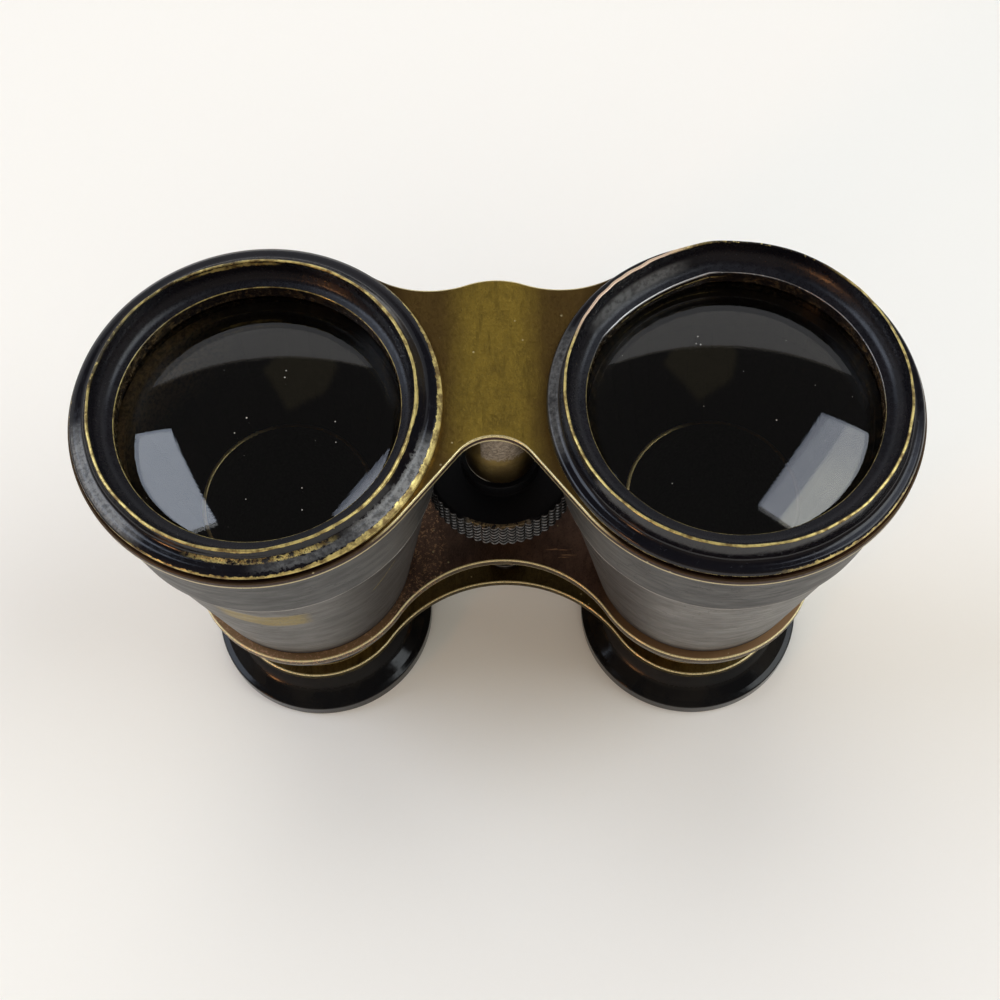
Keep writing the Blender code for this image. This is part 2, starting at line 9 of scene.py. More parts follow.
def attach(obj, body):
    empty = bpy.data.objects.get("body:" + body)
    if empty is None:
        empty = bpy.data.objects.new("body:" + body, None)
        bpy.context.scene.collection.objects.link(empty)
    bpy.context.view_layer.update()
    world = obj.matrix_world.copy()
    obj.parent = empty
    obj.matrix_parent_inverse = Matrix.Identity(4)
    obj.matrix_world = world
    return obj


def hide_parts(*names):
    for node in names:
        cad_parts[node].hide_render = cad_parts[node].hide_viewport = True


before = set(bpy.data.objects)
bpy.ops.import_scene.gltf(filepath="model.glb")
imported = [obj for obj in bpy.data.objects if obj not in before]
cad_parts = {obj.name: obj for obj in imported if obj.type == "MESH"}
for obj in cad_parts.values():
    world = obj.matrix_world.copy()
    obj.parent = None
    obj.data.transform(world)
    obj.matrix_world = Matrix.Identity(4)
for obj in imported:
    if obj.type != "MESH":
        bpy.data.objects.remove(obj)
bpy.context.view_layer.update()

# Sizes are in millimetres, as in the CAD source, and heights are above the table.
# A profile is a list of corners: radius, height, rounding.
MM = 0.001
SIDES = {"left": -1, "right": 1}
BARREL_X = 32.0
AXIS_Y = 8.5
GEAR = (0.0, AXIS_Y)

# Barrels, leather and collars
BARREL_FOOT, BREAK_HEIGHT, BARREL_HEAD = 26.55, 61.40, 75.43
TUBE_FOOT_RADIUS, TUBE_BREAK_RADIUS, TUBE_HEAD_RADIUS = 16.30, 22.30, 23.95
COLLAR_FOOT = 61.43
LEATHER_GAP, LEATHER = 0.10, 0.55
COLLAR_GAP, COLLAR = 0.75, 0.32

# Bezel of each side: ridge radius and height, lip radius and height, shelf, skirt end
BEZELS = {
    "left": (22.06, 80.38, 19.41, 76.73, 74.43, 68.90),
    "right": (22.56, 82.08, 19.75, 78.78, 76.48, 71.06),
}
BEZEL_FOOT, BEZEL_EDGE, BEZEL_ROLL = 77.13, 77.88, 78.43
BEZEL_RADIUS, SKIRT_RADIUS, NECK_RADIUS = 25.10, 22.30, 23.70
NECK_TOP = 78.00
LENS_RECESS = 20.75

# The left ridge is pressed in between two angles, in degrees, fading over some more
SQUEEZE, SQUEEZE_START, SQUEEZE_END, SQUEEZE_FADE = 0.58, -55.0, 145.0, 40.0
SQUEEZE_BELOW = 1.6
# A knock bent the right ridge in about one angle and left it ragged
DENT_ANGLE, DENT_HALF, DENT_IN, DENT_DOWN = 124.0, 27.0, 0.62, 0.30
RAGGED_START, RAGGED_END, RAGGED_DEPTH = 104.0, 152.0, 0.22

# Lenses
LENS_CURVE, LENS_RADIUS, GLASS_THICKNESS = 62.0, 20.65, 1.5
EYE_LENS_CURVE, EYE_LENS_RADIUS, EYE_LENS_FOOT, EYE_LENS_TOP = 60.0, 11.20, 6.30, 9.30

# Draw tubes and end rings
DRAW_TUBE_BORE, DRAW_TUBE_RADIUS = 12.40, 13.00
DRAW_TUBE_FOOT, DRAW_TUBE_TOP = 4.70, 47.90
END_RING_BORE, END_RING_RADIUS = 15.70, 17.97
END_RING_FOOT, END_RING_TOP = 23.30, 24.65

# Bridges: bottom and top, then ring radius, arch y, arch share, lobe radius, dip radius
FRONT_LEVELS, FRONT_OUTLINE = (75.53, 77.03), (25.52, -4.5, 0.66, 11.6, 15.0)
REAR_LEVELS, REAR_OUTLINE = (24.75, 26.45), (18.32, -1.1, 1.0, 9.4, 20.0)
EYE_LEVELS, EYE_OUTLINE = (8.65, 10.25), (15.21, 1.7, 1.0, 7.2, 20.0)
EYE_RING_BORE = 13.10
REAR_SPINDLE_HOLE, EYE_SPINDLE_HOLE = 3.25, 3.10
PLATE_EDGE = 0.22

# Focusing gear
COLUMN_BORE, COLUMN_RADIUS = 4.70, 5.40
COLUMNS = {"lower_column": (26.55, 35.10), "upper_column": (46.60, 75.43)}
WHEEL_RADIUS, WHEEL_FOOT, WHEEL_HEAD = 11.90, 37.70, 44.00
WHEEL_RIM = 11.10
KNURL_ROWS, KNURL_COUNT, KNURL_DEPTH, ROW_DEPTH = 6, 51, 0.45, 0.36
HUB_BORE, HUB_RADIUS, HUB_FOOT, HUB_TOP = 4.50, 6.10, 35.20, 46.50
SPINDLE_PROFILE = [
    (0.0, 61.03, 0.0), (2.60, 61.03, 0.10), (3.00, 60.63, 0.10), (3.00, 11.50, 0.05),
    (4.40, 11.50, 0.20), (4.40, 10.35, 0.10), (3.00, 10.35, 0.03), (3.00, 6.50, 0.15),
    (0.0, 6.50, 0.0),
]
FOOT_NUT_PROFILE = [
    (3.10, 7.00, 0.10), (4.60, 7.00, 0.25), (4.60, 8.55, 0.20), (3.10, 8.55, 0.10),
]
EYECUP_PROFILE = [
    (13.10, 8.55, 0.05), (13.10, 4.60, 0.05), (9.60, 4.60, 0.10), (9.60, 3.70, 0.15),
    (14.20, 2.60, 4.0), (17.10, 0.0, 0.35), (18.45, 0.0, 0.40), (18.75, 0.45, 0.30),
    (18.75, 2.85, 0.35), (17.75, 3.20, 0.20), (15.60, 4.60, 3.0), (14.20, 6.80, 3.0),
    (14.05, 8.55, 0.15),
]


# Node graphs

class Graph:
    """Shader nodes wired by calls. A value is a number, a colour or another node's output."""

    def __init__(self, tree):
        self.tree = tree

    def make(self, kind, inputs=None, **settings):
        node = self.tree.nodes.new(kind)
        for key, value in settings.items():
            setattr(node, key, value)
        for key, value in (inputs or {}).items():
            self.feed(node.inputs[key], value)
        return node

    def feed(self, socket, value):
        if isinstance(value, bpy.types.NodeSocket):
            self.tree.links.new(value, socket)
        elif isinstance(value, tuple) and socket.type == "RGBA":
            socket.default_value = (*value[:3], 1.0)
        else:
            socket.default_value = value

    def math(self, operation, a, b=0.0):
        return self.make("ShaderNodeMath", {0: a, 1: b}, operation=operation).outputs[0]

    def add(self, a, b):
        return self.math("ADD", a, b)

    def sub(self, a, b):
        return self.math("SUBTRACT", a, b)

    def mul(self, a, b):
        return self.math("MULTIPLY", a, b)

    def size(self, value):
        """The value without its sign."""
        return self.math("ABSOLUTE", value)

    def top(self, *values):
        """The largest of the values."""
        result = values[0]
        for value in values[1:]:
            result = self.math("MAXIMUM", result, value)
        return result

    def ramp(self, value, low, high, start=0.0, end=1.0):
        """Smooth step from start at low to end at high."""
        node = self.make("ShaderNodeMapRange", interpolation_type="SMOOTHSTEP")
        for index, part in enumerate((value, low, high, start, end)):
            self.feed(node.inputs[index], part)
        return node.outputs[0]

    def mix(self, factor, a, b):
        node = self.make("ShaderNodeMix", {0: factor, 6: a, 7: b}, data_type="RGBA")
        return node.outputs[2]


class Finish(Graph):
    """A material. Its place is in millimetres from the piece's own origin, or from a centre."""

    SOCKETS = {
        "color": "Base Color",
        "metallic": "Metallic",
        "rough": "Roughness",
        "normal": "Normal",
        "ior": "IOR",
        "transmission": "Transmission Weight",
        "specular": "Specular IOR Level",
    }

    def __init__(self, name, seed=0.0, centre=(0.0, 0.0)):
        self.seed = seed
        self.material = bpy.data.materials.new(name)
        self.material.use_nodes = True
        super().__init__(self.material.node_tree)
        self.shader = self.tree.nodes["Principled BSDF"]
        coordinates = self.make("ShaderNodeTexCoord").outputs["Object"]
        self.place = self.scaled(coordinates, (1.0 / MM,) * 3, (-centre[0], -centre[1], 0.0))
        split = self.make("ShaderNodeSeparateXYZ", {0: self.place})
        self.x, self.y, self.z = split.outputs
        radius = self.add(self.mul(self.x, self.x), self.mul(self.y, self.y))
        self.radius = self.math("SQRT", radius)

    def scaled(self, vector, factors, shift=(0.0, 0.0, 0.0)):
        node = self.make("ShaderNodeVectorMath", {0: vector, 1: factors, 2: shift},
                         operation="MULTIPLY_ADD")
        return node.outputs[0]

    def run(self):
        """Millimetres along the piece's profile, or in from a plate's outline."""
        return self.make("ShaderNodeAttribute", attribute_name="run").outputs["Fac"]

    def noise(self, size, detail=3.0, rough=0.55, shift=0.0, stretch=(1.0, 1.0, 1.0),
              distort=0.0):
        """Noise with features of about that size; stretch makes them longer along an axis."""
        seed = self.seed + shift
        factors = tuple(1.0 / (size * part) for part in stretch)
        vector = self.scaled(self.place, factors, (seed, seed * 1.7, seed * 0.6))
        inputs = {"Vector": vector, "Scale": 1.0, "Detail": detail, "Roughness": rough,
                  "Distortion": distort}
        return self.make("ShaderNodeTexNoise", inputs).outputs[0]

    def cells(self, size):
        """Distance to the nearest of points scattered about that size apart."""
        seed = self.seed
        vector = self.scaled(self.place, (1.0 / size,) * 3, (seed, seed * 1.3, seed * 0.8))
        node = self.make("ShaderNodeTexVoronoi", {"Vector": vector, "Scale": 1.0})
        return node.outputs["Distance"]

    def sector(self, angle, half, soft=6.0):
        """One within half a width of the angle round the piece's axis, in degrees."""
        turn = radians(angle)
        along = self.add(self.mul(self.x, cos(turn)), self.mul(self.y, sin(turn)))
        share = self.math("DIVIDE", along, self.math("MAXIMUM", self.radius, 0.001))
        outer = cos(radians(min(179.0, half + soft)))
        inner = cos(radians(max(0.5, half - soft)))
        return self.ramp(share, outer, inner)

    def away(self, x, y, across=1.0, along=1.0):
        """Distance in plan from a point, measured in units of the two half widths."""
        x = self.math("DIVIDE", self.sub(self.x, x), across)
        y = self.math("DIVIDE", self.sub(self.y, y), along)
        return self.math("SQRT", self.add(self.mul(x, x), self.mul(y, y)))

    def bump(self, height):
        """A normal from heights in millimetres."""
        inputs = {"Height": height, "Distance": MM, "Strength": 1.0}
        return self.make("ShaderNodeBump", inputs).outputs[0]

    def finish(self, **values):
        """Feeds the shader and gives back the material."""
        for key, value in values.items():
            self.feed(self.shader.inputs[self.SOCKETS[key]], value)
        return self.material


# Shapes

FILLET_SHARE = 0.48
FILLET_STEP = radians(10)
STRAIGHT = 0.02
EDGE_LOOP = 0.06
SHORT_RUN = 0.3


def fillet(before, corner, after, radius):
    """The arc that rounds a corner of a profile, within its share of both sides."""
    point = Vector(corner)
    u, v = Vector(before) - point, Vector(after) - point
    reach = min(u.length, v.length) * FILLET_SHARE
    turn = pi - u.angle(v)
    if radius <= 0.0 or turn < STRAIGHT:
        return [point]
    u.normalize()
    v.normalize()
    tangent = min(radius * tan(turn / 2), reach)
    true_radius = tangent / tan(turn / 2)
    centre = point + (u + v).normalized() * (true_radius / cos(turn / 2))
    start = point + u * tangent - centre
    end = point + v * tangent - centre
    sign = 1.0 if start.x * end.y - start.y * end.x > 0 else -1.0
    count = max(2, ceil(turn / FILLET_STEP))
    first = atan2(start.y, start.x)
    points = []
    for i in range(count + 1):
        angle = first + sign * turn * i / count
        points.append(centre + Vector((cos(angle), sin(angle))) * true_radius)
    return points


def rounded(corners, closed=True, step=1.5):
    """Points (radius, height, run) of a lathe profile, and the run at each of its corners.

    Sides are cut into steps, with a loop close to each rounded corner, which keeps it crisp.
    """
    bends = []
    for i, (radius, height, rounding) in enumerate(corners):
        if not closed and i in (0, len(corners) - 1):
            bends.append([Vector((radius, height))])
            continue
        before, after = corners[i - 1], corners[(i + 1) % len(corners)]
        bends.append(fillet(before[:2], (radius, height), after[:2], rounding))
    points, marks, run = [], [], 0.0
    last = None
    for bend in bends:
        for index, point in enumerate(bend):
            if last is not None:
                length = (point - last).length
                if index == 0 and length > SHORT_RUN:
                    middle = length - 2 * EDGE_LOOP
                    inner = max(1, ceil(middle / step))
                    shares = [EDGE_LOOP / length]
                    shares += [(EDGE_LOOP + middle * k / inner) / length for k in range(1, inner)]
                    shares.append(1.0 - EDGE_LOOP / length)
                    for share in shares:
                        between = last.lerp(point, share)
                        points.append((between.x, between.y, run + length * share))
                run += length
            points.append((point.x, point.y, run))
            if index == len(bend) // 2:
                marks.append(run)
            last = point
    return points, marks


def new_piece(name, verts, faces, runs, material, centre=(0.0, 0.0)):
    """An object from points in millimetres, each with its place along the run."""
    mesh = bpy.data.meshes.new(name)
    mesh.from_pydata([[value * MM for value in vert] for vert in verts], [], faces)
    mesh.attributes.new("run", "FLOAT", "POINT").data.foreach_set("value", runs)
    bm = bmesh.new()
    bm.from_mesh(mesh)
    bmesh.ops.remove_doubles(bm, verts=bm.verts, dist=1e-7)
    bmesh.ops.recalc_face_normals(bm, faces=bm.faces)
    bm.to_mesh(mesh)
    bm.free()
    mesh.shade_smooth()
    mesh.materials.append(material)
    piece = bpy.data.objects.new(name, mesh)
    piece.location = (centre[0] * MM, centre[1] * MM, 0.0)
    bpy.context.scene.collection.objects.link(piece)
    return piece


def lathe(name, corners, material, centre, steps=192, closed=True, warp=None, step=1.5):
    """A profile turned about the axis through centre; warp moves each point by angle."""
    profile, _ = rounded(corners, closed, step)
    count = len(profile)
    verts, runs, faces = [], [], []
    for i in range(steps):
        angle = tau * i / steps
        for radius, height, run in profile:
            if warp:
                radius, height = warp(angle, radius, height, run)
            verts.append((radius * cos(angle), radius * sin(angle), height))
            runs.append(run)
    for i in range(steps):
        here, there = i * count, ((i + 1) % steps) * count
        for k in range(count if closed else count - 1):
            after = (k + 1) % count
            faces.append((here + k, here + after, there + after, there + k))
    return new_piece(name, verts, faces, runs, material, centre)


def plate(name, loops, levels, material):
    """A flat plate with rounded edges, from an outline and holes that all keep it on their left.

    Each loop is repeated further in, as rings of (inset, height) round the plate's edge.
    """
    bottom, top = levels
    rings = [(0.70, bottom), (PLATE_EDGE + 0.10, bottom)]
    for i in range(6):
        turn = pi / 2 * i / 5
        rise = PLATE_EDGE * (1 - cos(turn))
        rings.append((PLATE_EDGE * (1 - sin(turn)), bottom + rise))
    rings += [(inset, top + bottom - height) for inset, height in reversed(rings)]
    verts, faces, runs = [], [], []
    caps = {0: [], len(rings) - 1: []}
    for loop in loops:
        count = len(loop)
        start = len(verts)
        normals = []
        for i, point in enumerate(loop):
            along = (loop[(i + 1) % count] - loop[i - 1]).normalized()
            normals.append(Vector((-along.y, along.x)))
        for level, (inset, height) in enumerate(rings):
            ring = []
            for point, normal in zip(loop, normals):
                moved = point + normal * inset
                ring.append(len(verts))
                verts.append((moved.x, moved.y, height))
                runs.append(inset)
            if level in caps:
                caps[level].append(ring)
        for level in range(len(rings) - 1):
            low, high = start + level * count, start + (level + 1) * count
            for i in range(count):
                after = (i + 1) % count
                faces.append((low + i, low + after, high + after, high + i))
    for cap in caps.values():
        flat = [index for ring in cap for index in ring]
        outlines = [[Vector(verts[index]) for index in ring] for ring in cap]
        for triangle in tessellate_polygon(outlines):
            faces.append(tuple(flat[corner] for corner in triangle))
    return new_piece(name, verts, faces, runs, material)


def arc(centre, radius, start, end, step=radians(2.0)):
    """Points on a circle from one angle to another."""
    count = max(2, ceil(abs(end - start) / step))
    angles = [start + (end - start) * i / count for i in range(count + 1)]
    return [centre + Vector((cos(a), sin(a))) * radius for a in angles]


def bridge_outline(ring, arch_y, arch_share, lobe_radius, dip_radius):
    """A bridge's outline, as the CAD source draws it, with finer arcs."""
    arch_radius = arch_share * (BARREL_X ** 2 + arch_y ** 2 - ring ** 2) / (2 * (ring + arch_y))
    ring_centre = Vector((BARREL_X, 0.0))
    arch_centre = Vector((0.0, arch_y - arch_radius))
    axis = Vector((0.0, AXIS_Y))
    across = arch_centre - ring_centre
    reach = min(1.0, (ring + arch_radius) / across.length)
    flank = atan2(across.y, across.x) % tau + acos(reach)
    near, far = lobe_radius + dip_radius, ring + dip_radius
    span = ring_centre - axis
    along = (near ** 2 - far ** 2 + span.length_squared) / (2 * span.length)
    aside = sqrt(near ** 2 - along ** 2)
    unit = span.normalized()
    dip_centre = axis + unit * along + Vector((-unit.y, unit.x)) * aside

    def heading(vector):
        return atan2(vector.y, vector.x)

    points = arc(arch_centre, arch_radius, pi / 2, flank - pi)
    points += arc(ring_centre, ring, flank, tau + heading(dip_centre - ring_centre))
    points += arc(dip_centre, dip_radius, heading(ring_centre - dip_centre) % tau,
                  heading(axis - dip_centre) % tau)[1:]
    points += arc(axis, lobe_radius, heading(dip_centre - axis), pi / 2)[1:]
    return points + [Vector((-point.x, point.y)) for point in reversed(points[1:-1])]


def hole(x, y, radius, steps=160):
    """A round hole, run clockwise so that the plate stays on its left."""
    return arc(Vector((x, y)), radius, tau, 0.0, tau / steps)[:-1]


def tube_radius(height):
    """The barrel tube's outer radius at a height above the table."""
    if height < BREAK_HEIGHT:
        share = (height - BARREL_FOOT) / (BREAK_HEIGHT - BARREL_FOOT)
        return TUBE_FOOT_RADIUS + (TUBE_BREAK_RADIUS - TUBE_FOOT_RADIUS) * share
    share = (height - BREAK_HEIGHT) / (BARREL_HEAD - BREAK_HEIGHT)
    return TUBE_BREAK_RADIUS + (TUBE_HEAD_RADIUS - TUBE_BREAK_RADIUS) * share


def dress(piece, body, slot, *nodes):
    """The piece rides on a body and stands for CAD nodes; slot is not used."""
    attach(piece, body)
    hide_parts(*nodes)


def repaint(node, material):
    """A CAD node that the scene keeps gets a finish of its own."""
    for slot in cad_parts[node].material_slots:
        slot.material = material


# Materials

GOLD = (0.78, 0.63, 0.23)
BROWN = (0.21, 0.14, 0.05)
OLIVE = (0.56, 0.365, 0.062)
SILVER = (0.62, 0.61, 0.60)
PALE_COPPER = (0.80, 0.58, 0.42)
COPPER_GRAIN = (0.62, 0.36, 0.20)
BRIGHT_EDGE = (0.80, 0.68, 0.36)
RIM_GLINT = (1.0, 0.82, 0.42)
GILDING = (0.27, 0.20, 0.035)
SCUFF_AND_SHEEN_GREY = (0.23, 0.235, 0.235)
RUBBED_LEATHER_SHEEN = (0.40, 0.38, 0.35)
GLASS_TINT = (0.72, 0.66, 0.56)
GLASS_IOR = 1.60
WORN_SHARE_METAL = 0.62

# Leather of each side: light and dark tone, and the height of its waves
LEATHERS = {
    "left": ((0.104, 0.101, 0.093), (0.056, 0.053, 0.047), 0.12),
    "right": ((0.164, 0.163, 0.153), (0.090, 0.086, 0.079), 0.30),
}
COLLAR_TONES = (0.046, 0.046, 0.044), (0.027, 0.027, 0.026)
COLLAR_WAVES = {"left": 0.12, "right": 0.22}
LEATHER_GLOSS, COLLAR_GLOSS = 0.44, 0.34


def shade(color, factor):
    """The colour with each part multiplied."""
    return tuple(part * factor for part in color)


def lacquer(name, seed, lines, satin=None, marks=None, inside=None):
    """Black lacquer worn through to brass along lines of (run, half width, reach, strength).

    satin is the stretch of the run that is duller. marks gives the piece's own wear, and by
    number the share of a line that shows; its chips show in any case. Its scuff is grey
    scuffed lacquer that is wear and painted highlight both. Dirty brass shows past the run named
    inside, and is hidden on the far side as a painted shade.
    """
    f = Finish(name, seed)
    run = f.run()
    broad = f.noise(6.0, 2.0)
    fine = f.noise(0.8, 6.0, 0.72, shift=5.0)
    own = marks(f, run, fine, broad) if marks else {}
    bare = own.get("bare", 0.0)
    for index, (place, width, reach, strength) in enumerate(lines):
        away = f.size(f.sub(run, place))
        half = f.ramp(broad, 0.32, 0.66, width * 0.6, width * 1.3)
        core = f.ramp(f.add(away, f.mul(f.sub(fine, 0.5), width * 1.2)), f.add(half, 0.07), half)
        gaps = f.ramp(f.add(fine, f.mul(broad, 0.5)), 0.72 - strength, 0.80 - strength)
        near = f.ramp(away, reach, 0.0)
        chips = f.ramp(f.add(fine, f.mul(near, 0.20)), 0.745, 0.77)
        bare = f.top(bare, f.mul(f.mul(core, gaps), own.get(index, 1.0)), chips)
    tone = f.noise(1.6, 4.0, 0.65, shift=9.0)
    metal = f.mix(f.ramp(tone, 0.35, 0.60), BROWN, GOLD)
    if "silver" in own:
        metal = f.mix(own["silver"], metal, SILVER)
    if "copper" in own:
        metal = f.mix(own["copper"], metal, PALE_COPPER)
    if inside is not None:
        within = f.mul(f.ramp(run, inside, inside + 0.3), f.sub(1.0, own.get("kept", 0.0)))
        # The brass of the inner wall is hidden on the far side, a painted shade.
        shaded = f.mul(f.sector(80.0, 50.0, 14.0), 0.75)
        seen = f.mul(f.sub(1.0, shaded), f.ramp(fine, 0.40, 0.58, 0.0, 0.9))
        bare = f.top(bare, f.mul(within, seen))
        dirty = f.mix(f.ramp(tone, 0.4, 0.65), (0.05, 0.033, 0.015), (0.26, 0.18, 0.08))
        metal = f.mix(within, metal, dirty)
    black = f.mix(f.ramp(broad, 0.3, 0.7), (0.004, 0.004, 0.006), (0.007, 0.006, 0.008))
    rough = f.ramp(fine, 0.45, 0.75, 0.13, 0.34)
    # Grey scuffed lacquer, laid where a slope catches the light: wear and painted highlight.
    if "scuff" in own:
        black = f.mix(own["scuff"], black, SCUFF_AND_SHEEN_GREY)
        rough = f.add(rough, f.mul(own["scuff"], 0.2))
    if satin:
        low, high = satin
        share = f.mul(f.ramp(run, low - 0.2, low + 0.2), f.ramp(run, high + 0.2, high - 0.2))
        rough = f.add(rough, f.mul(share, 0.14))
    rough = f.top(rough, f.mul(bare, 0.32))
    height = f.add(f.mul(fine, 0.006), f.mul(f.noise(3.0, 2.0), 0.012))
    height = f.sub(height, f.mul(bare, 0.025))
    return f.finish(color=f.mix(bare, black, metal), metallic=f.mul(bare, WORN_SHARE_METAL),
                    rough=rough, specular=0.38, normal=f.bump(height))


WORN_EDGE, WORN_FADE = 0.30, 0.14


def patina(name, seed, light, dark, levels, side_tone, browned=None, brown=(0.16, 0.088, 0.03),
           metallic=1.0, hushed=None, flecked=None, worn_foot=0.0):
    """Dull brass under old lacquer, bright on the rounded edges of its top; levels are its z.

    browned is the share that is brown (painted shade on the front bridge, copper on the rear
    one), hushed the share of the bright edge that shows, the rest painted darker as shade,
    flecked the share of copper flecks, and worn_foot the height up to which the wall is worn
    bright.
    """
    f = Finish(name, seed)
    bottom, top = levels
    run = f.run()
    cloud = f.noise(6.0, 5.0, 0.6)
    cast = f.noise(1.3, 4.0, 0.65, shift=2.0, stretch=(1.0, 2.0, 1.0))
    grit = f.noise(0.45, 5.0, 0.8, shift=4.0)
    color = f.mix(f.ramp(f.add(f.mul(cloud, 0.6), f.mul(cast, 0.4)), 0.36, 0.62), dark, light)
    color = f.mix(f.ramp(grit, 0.50, 0.72, 0.0, 0.75), color, shade(dark, 0.45))
    grain = f.noise(0.20, 3.0, 0.7, shift=6.0, stretch=(1.0, 2.4, 1.0))
    smear = f.noise(1.0, 4.0, 0.65, shift=7.0, stretch=(1.0, 7.0, 1.0))
    color = f.mix(f.ramp(grain, 0.46, 0.62, 0.0, 0.4), color, shade(light, 1.15))
    color = f.mix(f.ramp(smear, 0.50, 0.68, 0.0, 0.45), color, shade(dark, 0.75))
    if browned is not None:
        color = f.mix(browned(f, cloud), color, brown)
    wall = f.ramp(f.z, top - 0.16, top - 0.30)
    side = f.mix(f.ramp(cast, 0.4, 0.6), side_tone, shade(side_tone, 0.5))
    color = f.mix(wall, color, side)
    ragged = f.mul(f.sub(grit, 0.5), 0.25)
    rim = f.ramp(f.add(run, ragged), WORN_EDGE, WORN_EDGE - WORN_FADE)
    worn_top = bottom + worn_foot
    foot = f.mul(f.ramp(f.z, worn_top, worn_top - 0.12), f.mul(rim, 0.75))
    rim = f.mul(rim, f.sub(1.0, wall))
    if hushed is not None:
        shown = hushed(f)
        rim = f.mul(rim, shown)
        # Where the edge is hushed the plate is painted darker, a painted shade.
        color = f.mix(f.sub(1.0, shown), color, shade(side_tone, 0.6))
    rim = f.top(rim, foot)
    specks = f.ramp(f.cells(2.6), 0.075, 0.04)
    bright = f.top(rim, f.mul(specks, 0.6))
    color = f.mix(bright, color, BRIGHT_EDGE)
    if flecked is not None:
        color = f.mix(flecked(f, grit), color, COPPER_GRAIN)
    metallic = f.sub(metallic, f.mul(bright, 0.4))
    rough = f.sub(f.ramp(grit, 0.3, 0.75, 0.34, 0.56), f.mul(bright, 0.14))
    height = f.add(f.mul(grit, 0.02), f.mul(cloud, 0.05))
    return f.finish(color=color, metallic=metallic, rough=rough, normal=f.bump(height))


def leather(name, seed, light, dark, waves, gloss, extra):
    """Worn smooth leather, finely mottled, with scratches, soft creases and waves that high.

    extra gives the piece's own colour, share of metal and added roughness.
    """
    f = Finish(name, seed)
    cloud = f.noise(11.0, 4.0, 0.6)
    mottle = f.noise(1.6, 5.0, 0.6, shift=2.0, stretch=(3.0, 3.0, 1.0))
    streak = f.noise(0.22, 3.0, 0.6, shift=8.0, stretch=(30.0, 30.0, 1.0), distort=0.8)
    pore = f.noise(0.4, 4.0, 0.75, shift=6.0)
    scratch = f.noise(0.45, 2.0, 0.5, shift=3.0, stretch=(24.0, 24.0, 1.0), distort=1.2)
    slow = f.noise(6.0, 3.0, 0.5, shift=7.0, stretch=(1.0, 1.0, 0.5))
    fold = f.size(f.sub(slow, 0.5))
    crease = f.mul(f.ramp(fold, 0.012, 0.0), f.ramp(cloud, 0.48, 0.60))
    color = f.mix(f.ramp(cloud, 0.36, 0.64), dark, light)
    color = f.mix(f.ramp(mottle, 0.42, 0.66, 0.0, 0.30), color, shade(dark, 0.6))
    color = f.mix(f.ramp(streak, 0.48, 0.62, 0.0, 0.12), color, shade(light, 1.6))
    color = f.mix(f.ramp(scratch, 0.68, 0.74, 0.0, 0.30), color, shade(light, 2.0))
    color = f.mix(f.ramp(scratch, 0.30, 0.26, 0.0, 0.55), color, shade(dark, 0.4))
    color = f.mix(f.ramp(pore, 0.60, 0.75, 0.0, 0.4), color, shade(dark, 0.4))
    color = f.mix(f.mul(crease, 0.6), color, shade(dark, 0.4))
    height = f.add(f.mul(mottle, 0.022), f.add(f.mul(pore, 0.010), f.mul(streak, 0.008)))
    height = f.sub(height, f.mul(crease, 0.05))
    wave = f.noise(2.6, 2.0, 0.5, shift=9.0, stretch=(4.0, 4.0, 1.0), distort=0.5)
    height = f.add(height, f.mul(wave, waves))
    color, metallic, dull = extra(f, color, pore)
    rough = f.add(f.ramp(mottle, 0.3, 0.7, 0.38, 0.50), dull)
    return f.finish(color=color, metallic=metallic, rough=rough, specular=gloss,
                    normal=f.bump(height))


def ebonite(name, seed):
    """Polished black hard rubber, rough at the neck."""
    f = Finish(name, seed)
    fine = f.noise(0.6, 5.0, 0.7)
    cloud = f.noise(8.0, 3.0, 0.6, shift=2.0)
    color = f.mix(f.ramp(cloud, 0.4, 0.65), (0.005, 0.005, 0.0055), (0.010, 0.009, 0.008))
    rough = f.add(f.ramp(fine, 0.45, 0.75, 0.11, 0.24), f.ramp(f.z, 4.2, 5.4, 0.0, 0.5))
    height = f.add(f.mul(fine, 0.003), f.mul(cloud, 0.008))
    return f.finish(color=color, rough=rough, specular=0.25, normal=f.bump(height))


def brass(name, seed, tone=(0.52, 0.39, 0.17), dark=(0.20, 0.12, 0.05), rough=0.32, bore=0.0,
          glint_at=None):
    """Dulled brass, black inside the bore's radius; at glint_at, (angle, top), its rim has a
    painted glint and is painted dark as shade elsewhere.
    """
    f = Finish(name, seed)
    cloud = f.noise(7.0, 4.0, 0.6)
    lines = f.noise(0.25, 3.0, 0.6, shift=1.0, stretch=(20.0, 20.0, 1.0))
    grit = f.noise(0.5, 4.0, 0.7, shift=3.0)
    color = f.mix(f.ramp(cloud, 0.20, 0.66), dark, tone)
    color = f.mix(f.ramp(grit, 0.6, 0.75, 0.0, 0.6), color, shade(dark, 0.4))
    if glint_at is not None:
        angle, top = glint_at
        # Painted glint on the rim at one angle, painted shade on the rest of the rim.
        rim = f.mix(f.sector(angle, 38.0, 30.0), (0.08, 0.048, 0.02), RIM_GLINT)
        color = f.mix(f.ramp(f.z, top - 0.45, top - 0.25), color, rim)
    height = f.add(f.mul(lines, 0.008), f.mul(grit, 0.008))
    black = f.ramp(f.radius, bore + 0.04, bore + 0.02)
    rough = f.add(f.ramp(grit, 0.3, 0.7, rough, rough + 0.18), f.mul(black, 0.3))
    return f.finish(color=f.mix(black, color, (0.004, 0.004, 0.004)), metallic=f.sub(1.0, black),
                    rough=rough, normal=f.bump(height))


def steel(name, seed):
    """Dark turned steel."""
    f = Finish(name, seed)
    lines = f.noise(0.3, 3.0, 0.6, stretch=(20.0, 20.0, 1.0))
    cloud = f.noise(3.0, 4.0, 0.6, shift=2.0)
    color = f.mix(f.ramp(cloud, 0.35, 0.65), (0.10, 0.095, 0.09), (0.22, 0.21, 0.20))
    return f.finish(color=color, metallic=1.0, rough=f.ramp(cloud, 0.3, 0.7, 0.28, 0.45),
                    normal=f.bump(f.mul(lines, 0.01)))


